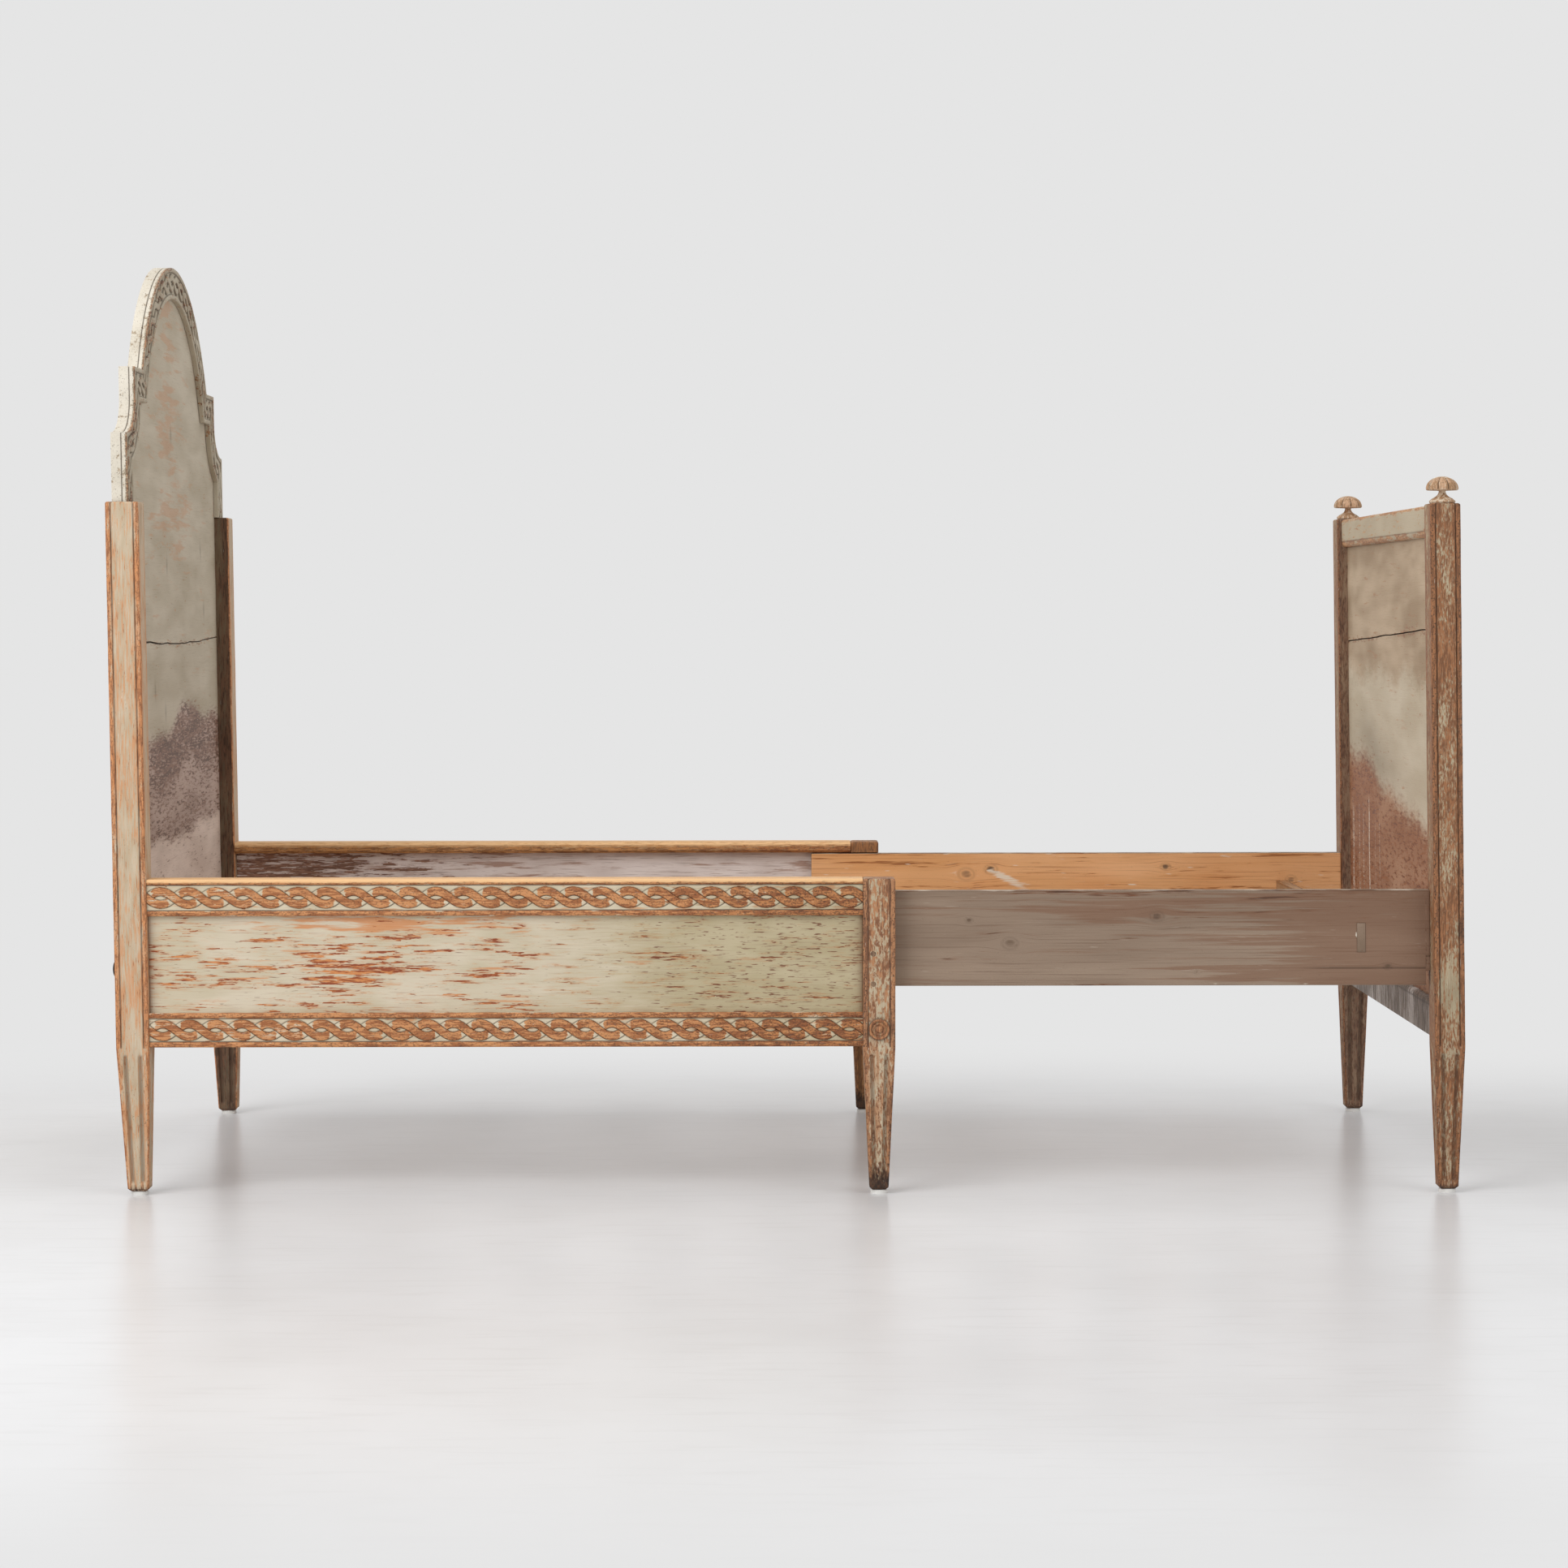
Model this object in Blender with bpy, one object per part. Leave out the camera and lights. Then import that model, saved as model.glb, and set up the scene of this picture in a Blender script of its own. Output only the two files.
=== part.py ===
"""Carved pull-out bed: the head section stands on four legs, the foot section slides into it.

The bed lies along X with its foot at +X, the floor is Z = 0 and the sizes are metres. Right and left
are those of someone lying in the bed, so the right side is at -Y. Both ends are raked a little
towards the head. Every piece is drawn upright and the rake is given to all of them at the end.
"""
import math

import bmesh
import bpy
import numpy as np
from mathutils import Vector

# Overall sizes, with the foot section drawn out
LENGTH = 1.968
WIDTH = 0.950
CLEAR = 0.0003
OVERCUT = 0.004

# Rake of the ends: shift towards the head for each metre of height
HEAD_RAKE = 0.0113
FOOT_RAKE = 0.0157

# Posts and their tapered legs
POST_Y = 0.052
HEAD_POST_X = 0.048
MID_POST_X = 0.047
FOOT_POST_X = 0.044
HEAD_POST_TOP = 1.008
FOOT_POST_TOP = 1.003
POST_ARRIS = 0.0020
TOP_ARRIS = 0.0030
HEAD_TOE = 0.031
MID_TOE = 0.0275
FOOT_TOE = 0.029
TOE_CHAMFER = 0.004
TOE_SHIFT = 0.0025
KNEE_DROP = 0.002
QUIRK_INSET = 0.0065
QUIRK_WIDTH = 0.0024
QUIRK_DEPTH = 0.0016
FLUTE_RADIUS = 0.0036
FLUTE_DEPTH = 0.0028
FLUTE_SPREAD = 0.23
FLUTE_TOP_GAP = 0.013
FLUTE_FOOT_GAP = 0.022
FLUTE_TIP_RADIUS = 0.0005
FLUTE_SIDES = 8
PAD_DIAMETER = 0.025
PAD_HEIGHT = 0.0055
PAD_ARRIS = 0.0011
PAD_STEPS = 20

# Carved side of the head section
SIDE_LENGTH = 1.0336
SIDE_BOTTOM = 0.217
SIDE_TOP = 0.461
TOP_RAIL_HEIGHT = 0.053
BOTTOM_RAIL_HEIGHT = 0.050
RAIL_SET = 0.003
RAIL_THICKNESS = 0.008
RAIL_BEAD = 0.0075
RAIL_SINK = 0.0025
BEAD_STEPS = 3
BEAD_ROUND = 0.5
CAP_HEIGHT = 0.018
CAP_OVERHANG = 0.003
CAP_NOSE = 0.004
SIDE_PANEL_THICKNESS = 0.0205

# Sliding boards of the foot section
BOARD_HEIGHT = 0.1395
BOARD_THICKNESS = 0.019
BOARD_LAP = 0.113
SLIDE_CLEAR = 0.0015
BOARD_ARRIS = 0.0012
END_NOTCH_LENGTH = 0.007
END_NOTCH_HEIGHT = 0.021
LEDGER_HEIGHT = 0.035
LEDGER_WIDTH = 0.052

# Headboard
CREST_SET = 0.015
CREST_THICKNESS = 0.024
CREST_BAND = 0.048
CREST_FACE = 0.008
CREST_BEAD = 0.0065
CREST_SINK = 0.0025
CREST_QUIRK_SET = 0.009
SHOULDER_SET = 0.008
SHOULDER_RISE = 0.100
SWEEP_RISE = 0.055
EAR_RISE = 0.045
EAR_SET = 0.079
ARCH_RISE = 0.177
ARCH_RADIUS = 0.362
ARCH_STEPS = 28
SHOULDER_STEPS = 7
PANEL_THICKNESS = 0.012
PANEL_GROOVE = 0.008
HEAD_CRACK_Z = 0.803
CRACK_WIDTH = 0.0015

# Footboard
FOOT_RAIL_THICKNESS = 0.030
FOOT_TOP_RAIL_DROP = 0.0015
FOOT_TOP_RAIL_HEIGHT = 0.046
END_RAIL_RISE = 0.005
END_RAIL_HEIGHT = 0.055
OVOLO_HEIGHT = 0.009
OVOLO_DEPTH = 0.007
OVOLO_STEPS = 4
FOOT_CRACK_Z = 0.809
HEAD_RAIL_THICKNESS = 0.028

# Finials
FINIAL_DOME_DIAMETER = 0.047
FINIAL_DOME_HEIGHT = 0.0207
FINIAL_RIM = 0.003
FINIAL_NECK_DIAMETER = 0.010
FINIAL_NECK_HEIGHT = 0.0115
FINIAL_NECK_STEPS = 4
FINIAL_NECK_HOLLOW = 2.5
FINIAL_BASE_DIAMETER = 0.038
FINIAL_BASE_HEIGHT = 0.007
FINIAL_ARRIS = 0.0012
FINIAL_PIN_DIAMETER = 0.011
FINIAL_PIN_LENGTH = 0.028
FINIAL_LOBES = 9
FINIAL_LOBE_DEPTH = 0.0022
FINIAL_LOBE_STEPS = 4
FINIAL_DOME_STEPS = 5

# Joinery
TENON_THICKNESS = 0.010
TENON_LENGTH = 0.026
TENON_SHOULDER = 0.010
TENON_LAND = 0.0015
BOLT_DIAMETER = 0.008
BOLT_HEAD_DIAMETER = 0.022
BOLT_HEAD_HEIGHT = 0.005
BOLT_REACH = 0.062
BOLT_RECESS = 0.007
NUT_SIZE = 0.014
NUT_THICKNESS = 0.008
NUT_SEAT = 0.040
PEG_DIAMETER = 0.008
PEG_LENGTH = 0.029
PEG_SPREAD = 0.044
PEG_INSET = 0.015
ROUND_STEPS = 10
SMOOTH_ANGLE = 40.0

# Rosettes on the mid posts
ROSETTE_DIAMETER = 0.030
ROSETTE_HEIGHT = 0.0045
ROSETTE_SEAT = 0.002
ROSETTE_STEPS = 18

# Turned profiles: shares of a height and of a radius
BOLT_HEAD_PROFILE = ((0.0, 0.55), (0.5, 0.92), (0.8, 1.0), (1.0, 1.0))
ROSETTE_PROFILE = ((0.75, 1.0), (1.0, 0.90), (0.8, 0.76), (0.45, 0.70), (0.75, 0.55), (0.45, 0.40),
                   (0.85, 0.28), (1.0, 0.10))
FINIAL_BASE_PROFILE = ((0.35, 1.0), (0.65, 0.97), (1.0, 0.80))
FINIAL_UNDERSIDE = ((0.0, 0.26), (0.3, 0.92), (1.0, 1.0))

# Cross members and slats
STRETCHER_X = 0.018
STRETCHER_Z = 0.046
STRETCHER_TENON_X = 0.012
STRETCHER_TENON_Z = 0.042
STRETCHER_BACK = 0.1015
MID_STRETCHER_X = 0.028
MID_STRETCHER_Z = 0.046
SLAT_THICKNESS = 0.018
SLAT_WIDTH = 0.090
SLAT_PLAY = 0.003
HEAD_SLATS = 5
FOOT_SLATS = 4
SLAT_PASS = 0.008
SLAT_LEDGER_HEIGHT = 0.020
SLAT_LEDGER_WIDTH = 0.024
SLAT_LEDGER_GAP = 0.012
SLAT_ARRIS = 0.0015

# Places worked out from the sizes
HALF = WIDTH / 2
KNEE_Z = SIDE_BOTTOM - KNEE_DROP
TOE_Z = PAD_HEIGHT + CLEAR
HEAD_FRONT = -LENGTH / 2 + HEAD_RAKE * HEAD_POST_TOP + HEAD_POST_X
MID_BACK = HEAD_FRONT + SIDE_LENGTH
MID_FRONT = MID_BACK + MID_POST_X
FOOT_FRONT = LENGTH / 2 + FOOT_RAKE * KNEE_Z
FOOT_BACK = FOOT_FRONT - FOOT_POST_X
BOARD_END = MID_FRONT - BOARD_LAP
PANEL_FRONT_DEPTH = RAIL_SET + RAIL_THICKNESS + CLEAR
PANEL_BACK_DEPTH = PANEL_FRONT_DEPTH + SIDE_PANEL_THICKNESS
BOARD_FRONT_DEPTH = PANEL_BACK_DEPTH + SLIDE_CLEAR
BOARD_BACK_DEPTH = BOARD_FRONT_DEPTH + BOARD_THICKNESS
BOARD_TOP = SIDE_TOP - CAP_HEIGHT - SLIDE_CLEAR
BOARD_BOTTOM = BOARD_TOP - BOARD_HEIGHT
LEDGER_TOP = BOARD_BOTTOM - CLEAR
BOARD_MIDDLE = (BOARD_BOTTOM + BOARD_TOP) / 2
SLAT_LEDGER_TOP = BOARD_BOTTOM + SLAT_THICKNESS + SLAT_PASS + SLAT_LEDGER_HEIGHT
SIDE_MIDDLE = (SIDE_BOTTOM + SIDE_TOP - CAP_HEIGHT) / 2
END_RAIL_BOTTOM = SIDE_BOTTOM + END_RAIL_RISE
END_RAIL_TOP = END_RAIL_BOTTOM + END_RAIL_HEIGHT
HEAD_PANEL_FRONT = HEAD_FRONT - CREST_SET - CREST_FACE - CLEAR
HEAD_PANEL_BACK = HEAD_PANEL_FRONT - PANEL_THICKNESS
FOOT_CENTRE = (FOOT_FRONT + FOOT_BACK) / 2
PANEL_HALF = HALF - POST_Y + PANEL_GROOVE - CLEAR
SHOULDER_HALF = HALF - SHOULDER_SET
SHOULDER_TOP = HEAD_POST_TOP + SHOULDER_RISE
EAR_BOTTOM = SHOULDER_TOP + SWEEP_RISE
EAR_TOP = EAR_BOTTOM + EAR_RISE
ARCH_CENTRE = EAR_TOP + ARCH_RISE - ARCH_RADIUS
CREST_REBATE = SHOULDER_HALF - PANEL_HALF - CLEAR
CROSS_TENON = POST_Y / 2 - FINIAL_PIN_DIAMETER / 2 - TENON_LAND
BOARD_TENON = FOOT_POST_X / 2 - PANEL_THICKNESS / 2 - TENON_LAND

# Finishes: colour, roughness and metallic value
FINISHES = {
    "worn_paint": ((0.46, 0.44, 0.34), 0.75, 0.0),
    "board_paint": ((0.38, 0.37, 0.30), 0.78, 0.0),
    "aged_pine": ((0.23, 0.15, 0.10), 0.70, 0.0),
    "black_iron": ((0.03, 0.03, 0.03), 0.55, 0.9),
    "white_felt": ((0.80, 0.80, 0.78), 0.95, 0.0),
}

SIDES = {"right": -1, "left": 1}


def clear_scene():
    """Removes every object, mesh and material that the file starts with."""
    for obj in list(bpy.data.objects):
        bpy.data.objects.remove(obj, do_unlink=True)
    for mesh in list(bpy.data.meshes):
        bpy.data.meshes.remove(mesh)
    for material in list(bpy.data.materials):
        bpy.data.materials.remove(material)


def make_finishes():
    """Makes one Principled material for each finish and returns them by name."""
    made = {}
    for name, (colour, roughness, metallic) in FINISHES.items():
        material = bpy.data.materials.new(name)
        material.use_nodes = True
        material.diffuse_color = (*colour, 1.0)
        shader = material.node_tree.nodes["Principled BSDF"]
        shader.inputs["Base Color"].default_value = (*colour, 1.0)
        shader.inputs["Roughness"].default_value = roughness
        shader.inputs["Metallic"].default_value = metallic
        made[name] = material
    return made


def make_section(name):
    """Makes the empty that carries all the pieces of one section of the bed."""
    empty = bpy.data.objects.new(name, None)
    bpy.context.collection.objects.link(empty)
    return empty


clear_scene()
MATERIALS = make_finishes()
HEAD = make_section("head_section")
FOOT = make_section("foot_section")


# Shapes

def block(low, high, arris=0.0):
    """Returns a box between two corners, with its edges bevelled by the arris."""
    bm = bmesh.new()
    bmesh.ops.create_cube(bm, size=1.0)
    low, high = Vector(low), Vector(high)
    bmesh.ops.scale(bm, vec=high - low, verts=bm.verts)
    bmesh.ops.translate(bm, vec=(low + high) / 2, verts=bm.verts)
    if arris > 0.0:
        bmesh.ops.bevel(bm, geom=bm.edges[:], offset=arris, segments=1, profile=0.5, affect="EDGES")
    return bm


def loft(rings):
    """Returns a closed body through rings of equally many points, capped at both ends."""
    bm = bmesh.new()
    rows = [[bm.verts.new(point) for point in ring] for ring in rings]
    count = len(rows[0])
    for lower, upper in zip(rows, rows[1:]):
        for i in range(count):
            j = (i + 1) % count
            bm.faces.new((lower[i], lower[j], upper[j], upper[i]))
    bm.faces.new(reversed(rows[0]))
    bm.faces.new(rows[-1])
    return bm


def turned(profile, centre, axis, steps, lobes=0, lobe_depth=0.0):
    """Returns a body turned about a line through centre; profile holds (distance, radius, lobing)."""
    axis = Vector(axis).normalized()
    side = axis.orthogonal().normalized()
    other = axis.cross(side)
    rings = []
    for distance, radius, lobing in profile:
        ring = []
        for k in range(steps):
            angle = 2.0 * math.pi * k / steps
            valley = 1.0 - abs(math.sin(lobes * angle / 2.0)) if lobes else 0.0
            reach = radius - lobe_depth * lobing * valley
            spoke = side * math.cos(angle) + other * math.sin(angle)
            ring.append(Vector(centre) + axis * distance + spoke * reach)
        rings.append(ring)
    return loft(rings)


def rod(start, end, diameter):
    """Returns a plain round rod between two points."""
    run = Vector(end) - Vector(start)
    profile = ((0.0, diameter / 2, 0.0), (run.length, diameter / 2, 0.0))
    return turned(profile, start, run, ROUND_STEPS)


def prism(outline, start, end, place):
    """Returns an outline carried from start to end, where place(u, v, along) gives each point."""
    return loft([[place(u, v, along) for u, v in outline] for along in (start, end)])


# Pieces, and what is cut from or added to them

def piece(name, bm, finish, section):
    """Makes a named piece with its origin at its own middle, carried by a section's empty."""
    bmesh.ops.recalc_face_normals(bm, faces=bm.faces[:])
    points = [vert.co for vert in bm.verts]
    low = Vector([min(point[i] for point in points) for i in range(3)])
    high = Vector([max(point[i] for point in points) for i in range(3)])
    middle = (low + high) / 2
    bmesh.ops.translate(bm, vec=-middle, verts=bm.verts)
    mesh = bpy.data.meshes.new(name)
    bm.to_mesh(mesh)
    bm.free()
    mesh.materials.append(MATERIALS[finish])
    obj = bpy.data.objects.new(name, mesh)
    obj.location = middle
    obj.parent = section
    bpy.context.collection.objects.link(obj)
    return obj


def smooth(obj):
    """Shades a round piece smooth, with its sharp edges kept."""
    obj.data.shade_smooth()
    obj.data.set_sharp_from_angle(angle=math.radians(SMOOTH_ANGLE))


def combine(obj, bm, operation):
    """Adds a hidden helper solid to a piece, or cuts it out, with a live Boolean."""
    helper = piece(obj.name + "_helper", bm, "aged_pine", obj.parent)
    helper.hide_render = True
    helper.display_type = "WIRE"
    modifier = obj.modifiers.new(operation.lower(), "BOOLEAN")
    modifier.operation = operation
    modifier.object = helper


def cut(obj, bm):
    """Cuts a solid out of a piece."""
    combine(obj, bm, "DIFFERENCE")


def add(obj, bm):
    """Joins a solid to a piece, as a tenon grows out of its rail."""
    combine(obj, bm, "UNION")


def grown(low, high, margin):
    """Returns the two corners of a box, moved outwards by a margin."""
    return [c - margin for c in low], [c + margin for c in high]


def at_depth(side, depth_a, depth_b):
    """Returns the lower and higher Y of a layer between two depths below a side's outer face."""
    ys = sorted(SIDES[side] * (HALF - depth) for depth in (depth_a, depth_b))
    return ys[0], ys[1]


def side_corners(side, x_range, depths, z_range):
    """Returns the low and high corners of a box given by depths below a side's outer face."""
    y_low, y_high = at_depth(side, *depths)
    return (x_range[0], y_low, z_range[0]), (x_range[1], y_high, z_range[1])


# Posts

def post_section(half_x, half_y, quirk):
    """Returns a post's section: chamfered arrises, and two quirks along its outer face."""
    inner, outer = QUIRK_INSET, QUIRK_INSET + QUIRK_WIDTH
    middle = (inner + outer) / 2
    outer_face = [(half_x - POST_ARRIS, 0.0), (half_x - inner, 0.0), (half_x - middle, quirk),
                  (half_x - outer, 0.0)]
    points = [(half_x, -half_y + POST_ARRIS), (half_x, half_y - POST_ARRIS)]
    points += [(u, half_y - sink) for u, sink in outer_face]
    points += [(-u, half_y - sink) for u, sink in reversed(outer_face)]
    points += [(-half_x, half_y - POST_ARRIS), (-half_x, -half_y + POST_ARRIS)]
    points += [(-half_x + POST_ARRIS, -half_y), (half_x - POST_ARRIS, -half_y)]
    return points


class Post:
    """A square post whose lower end tapers into a fluted leg on a felt pad."""

    def __init__(self, kind, side, section, back, width, top, toe, toe_shift):
        self.side, self.sign, self.section = side, SIDES[side], section
        self.width, self.top, self.toe, self.toe_shift = width, top, toe, toe_shift
        self.x = back + width / 2
        self.y = self.sign * (HALF - POST_Y / 2)
        self.name = f"{kind}_post_{side}"
        self.obj = piece(self.name, self.body(), "worn_paint", section)
        self.cut_flutes()
        self.make_pad(f"{kind}_pad_{side}")

    def half_sizes(self, z):
        """Returns half the width, half the depth and the shift of the leg's axis at a height."""
        share = min(1.0, (z - TOE_Z) / (KNEE_Z - TOE_Z))
        half_x = (self.toe + (self.width - self.toe) * share) / 2
        half_y = (self.toe + (POST_Y - self.toe) * share) / 2
        return half_x, half_y, self.toe_shift * (1.0 - share)

    def ring(self, z, shrink=0.0, quirk=0.0):
        """Returns one ring of the post at a height, drawn in by shrink."""
        half_x, half_y, shift = self.half_sizes(z)
        outline = post_section(half_x - shrink, half_y - shrink, quirk)
        return [Vector((self.x + shift + u, self.y + self.sign * v, z)) for u, v in outline]

    def body(self):
        """Returns the post: chamfered toe, tapered leg, straight shaft with quirks, eased top."""
        return loft([
            self.ring(TOE_Z, TOE_CHAMFER),
            self.ring(TOE_Z + TOE_CHAMFER),
            self.ring(KNEE_Z),
            self.ring(SIDE_BOTTOM, 0.0, QUIRK_DEPTH),
            self.ring(self.top - TOP_ARRIS, 0.0, QUIRK_DEPTH),
            self.ring(self.top, TOP_ARRIS, 0.0),
        ])

    def flute(self, face, spread):
        """Returns one flute's cutter, a round-ended rod along a face of the leg."""
        ends = []
        for z in (FLUTE_FOOT_GAP, KNEE_Z - FLUTE_TOP_GAP):
            half_x, half_y, shift = self.half_sizes(z)
            lift = FLUTE_RADIUS - FLUTE_DEPTH
            u = face[0] * (half_x + lift) + face[1] * spread * 2 * half_x
            v = face[1] * (half_y + lift) + face[0] * spread * 2 * half_y
            ends.append(Vector((self.x + shift + u, self.y + v, z)))
        run = ends[1] - ends[0]
        cap = FLUTE_RADIUS * math.sqrt(0.5)
        profile = ((-FLUTE_RADIUS, FLUTE_TIP_RADIUS, 0.0), (-cap, cap, 0.0), (0.0, FLUTE_RADIUS, 0.0),
                   (run.length, FLUTE_RADIUS, 0.0), (run.length + cap, cap, 0.0),
                   (run.length + FLUTE_RADIUS, FLUTE_TIP_RADIUS, 0.0))
        return turned(profile, ends[0], run, FLUTE_SIDES)

    def cut_flutes(self):
        """Cuts a pair of stopped flutes into each face of the leg."""
        for face in ((1, 0), (-1, 0), (0, 1), (0, -1)):
            for spread in (-FLUTE_SPREAD, FLUTE_SPREAD):
                cut(self.obj, self.flute(face, spread))

    def make_pad(self, name):
        """Makes the felt pad that the leg stands on."""
        radius = PAD_DIAMETER / 2
        profile = ((0.0, radius, 0.0), (PAD_HEIGHT - PAD_ARRIS, radius, 0.0),
                   (PAD_HEIGHT, radius - PAD_ARRIS, 0.0))
        foot = (self.x + self.toe_shift, self.y, 0.0)
        pad = piece(name, turned(profile, foot, (0, 0, 1), PAD_STEPS), "white_felt", self.section)
        smooth(pad)


def make_posts():
    """Makes the six posts and returns them by kind and side."""
    posts = {}
    for side in SIDES:
        posts["head", side] = Post("head", side, HEAD, HEAD_FRONT - HEAD_POST_X, HEAD_POST_X,
                                   HEAD_POST_TOP, HEAD_TOE, TOE_SHIFT)
        posts["mid", side] = Post("mid", side, HEAD, MID_BACK, MID_POST_X, SIDE_TOP, MID_TOE, 0.0)
        posts["foot", side] = Post("foot", side, FOOT, FOOT_BACK, FOOT_POST_X,
                                   FOOT_POST_TOP, FOOT_TOE, -TOE_SHIFT)
    return posts


# Joints

def stub_tenon(rail, post, low, high):
    """Joins a tenon to a rail and cuts its mortise, a clearance wider all round, into the post."""
    add(rail, block(low, high))
    cut(post, block(*grown(low, high, CLEAR)))


def end_tenon(rail, post, side, centre_x, z_range):
    """Tenons the end of a cross rail into a post's inner face, short of a finial's pin."""
    half = TENON_THICKNESS / 2
    low_z, high_z = z_range[0] + TENON_SHOULDER, z_range[1] - TENON_SHOULDER
    depths = (POST_Y - CROSS_TENON, POST_Y + CROSS_TENON)
    stub_tenon(rail, post, *side_corners(side, (centre_x - half, centre_x + half), depths, (low_z, high_z)))


def cross_rail(name, outline, centre_x, section, finish="worn_paint"):
    """Makes a rail from side to side between two posts, from its outline of (x, z) points."""
    reach = HALF - POST_Y - CLEAR

    def place(u, z, along):
        return Vector((centre_x + u, along, z))

    return piece(name, prism(outline, -reach, reach, place), finish, section)


def twin_tenons(board, post, x_range, depths, z_range, middle):
    """Tenons a board's end into a post with two stubs, above and below the bed bolt."""
    gap = BOLT_HEAD_DIAMETER / 2
    centre = (depths[0] + depths[1]) / 2
    layer = (centre - TENON_THICKNESS / 2, centre + TENON_THICKNESS / 2)
    for low_z, high_z in ((z_range[0] + TENON_SHOULDER, middle - gap),
                          (middle + gap, z_range[1] - TENON_SHOULDER)):
        stub_tenon(board, post.obj, *side_corners(post.side, x_range, layer, (low_z, high_z)))


def bed_bolt(kind, side, post, board, outer_x, inner_x, depth, z, section, recess, passed=()):
    """Bolts a board's end to a post, with the nut let into the board.

    The hole runs through the post, the board and every piece that the bolt passes between them.
    """
    inward = 1.0 if inner_x > outer_x else -1.0
    axis = (inward, 0, 0)
    y = SIDES[side] * (HALF - depth)
    seat = outer_x + inward * recess
    radius, head = BOLT_DIAMETER / 2, BOLT_HEAD_DIAMETER / 2
    length = abs(inner_x - seat) + BOLT_REACH
    head_start = -CLEAR - BOLT_HEAD_HEIGHT
    profile = [(head_start + BOLT_HEAD_HEIGHT * t, head * r, 0.0) for t, r in BOLT_HEAD_PROFILE]
    profile += [(-CLEAR, radius, 0.0), (length, radius, 0.0)]
    bolt = piece(f"{kind}_bolt_{side}", turned(profile, (seat, y, z), axis, ROUND_STEPS),
                 "black_iron", section)
    smooth(bolt)
    hole_start = outer_x - inward * OVERCUT
    hole_end = seat + inward * (length + OVERCUT)
    hole = BOLT_DIAMETER + 2 * CLEAR
    for target in (post, board, *passed):
        cut(target, rod((hole_start, y, z), (hole_end, y, z), hole))
    if recess > 0.0:
        pocket = BOLT_HEAD_DIAMETER + 4 * CLEAR
        cut(post, rod((hole_start, y, z), (seat, y, z), pocket))
    nut_x = inner_x + inward * NUT_SEAT
    nut_low = (nut_x - NUT_THICKNESS / 2, y - NUT_SIZE / 2, z - NUT_SIZE / 2)
    nut_high = (nut_x + NUT_THICKNESS / 2, y + NUT_SIZE / 2, z + NUT_SIZE / 2)
    nut = piece(f"{kind}_nut_{side}", block(nut_low, nut_high), "black_iron", section)
    cut(nut, rod((hole_start, y, z), (hole_end, y, z), hole))
    low, high = grown(nut_low, nut_high, CLEAR)
    mouth = y - SIDES[side] * (NUT_SIZE + BOARD_THICKNESS)
    low[1], high[1] = min(low[1], mouth), max(high[1], mouth)
    cut(board, block(low, high))


# Head section

def bead(start, height, face):
    """Returns the (depth, z) points of a flattened half-round bead that rises from start at a face."""
    radius = height / 2
    points = []
    for k in range(BEAD_STEPS + 1):
        angle = math.pi * k / BEAD_STEPS
        sink = radius * BEAD_ROUND * (1.0 - math.sin(angle))
        points.append((face + sink, start + radius * (1.0 - math.cos(angle))))
    return points


def rail_face(bottom, top):
    """Returns the (depth, z) points of a carved rail's face: bead, sunk field for the carving, bead."""
    sunk = RAIL_SET + RAIL_SINK
    points = bead(bottom, RAIL_BEAD, RAIL_SET)
    points += [(sunk, bottom + RAIL_BEAD + RAIL_SINK / 2), (sunk, top - RAIL_BEAD - RAIL_SINK / 2)]
    points += bead(top - RAIL_BEAD, RAIL_BEAD, RAIL_SET)
    return points


def side_piece(name, outline, side, finish="worn_paint"):
    """Makes a length of the side between head post and mid post from its (depth, z) outline."""
    def place(depth, z, along):
        return Vector((along, SIDES[side] * (HALF - depth), z))

    body = prism(outline, HEAD_FRONT + CLEAR, MID_BACK - CLEAR, place)
    return piece(name, body, finish, HEAD)


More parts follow.
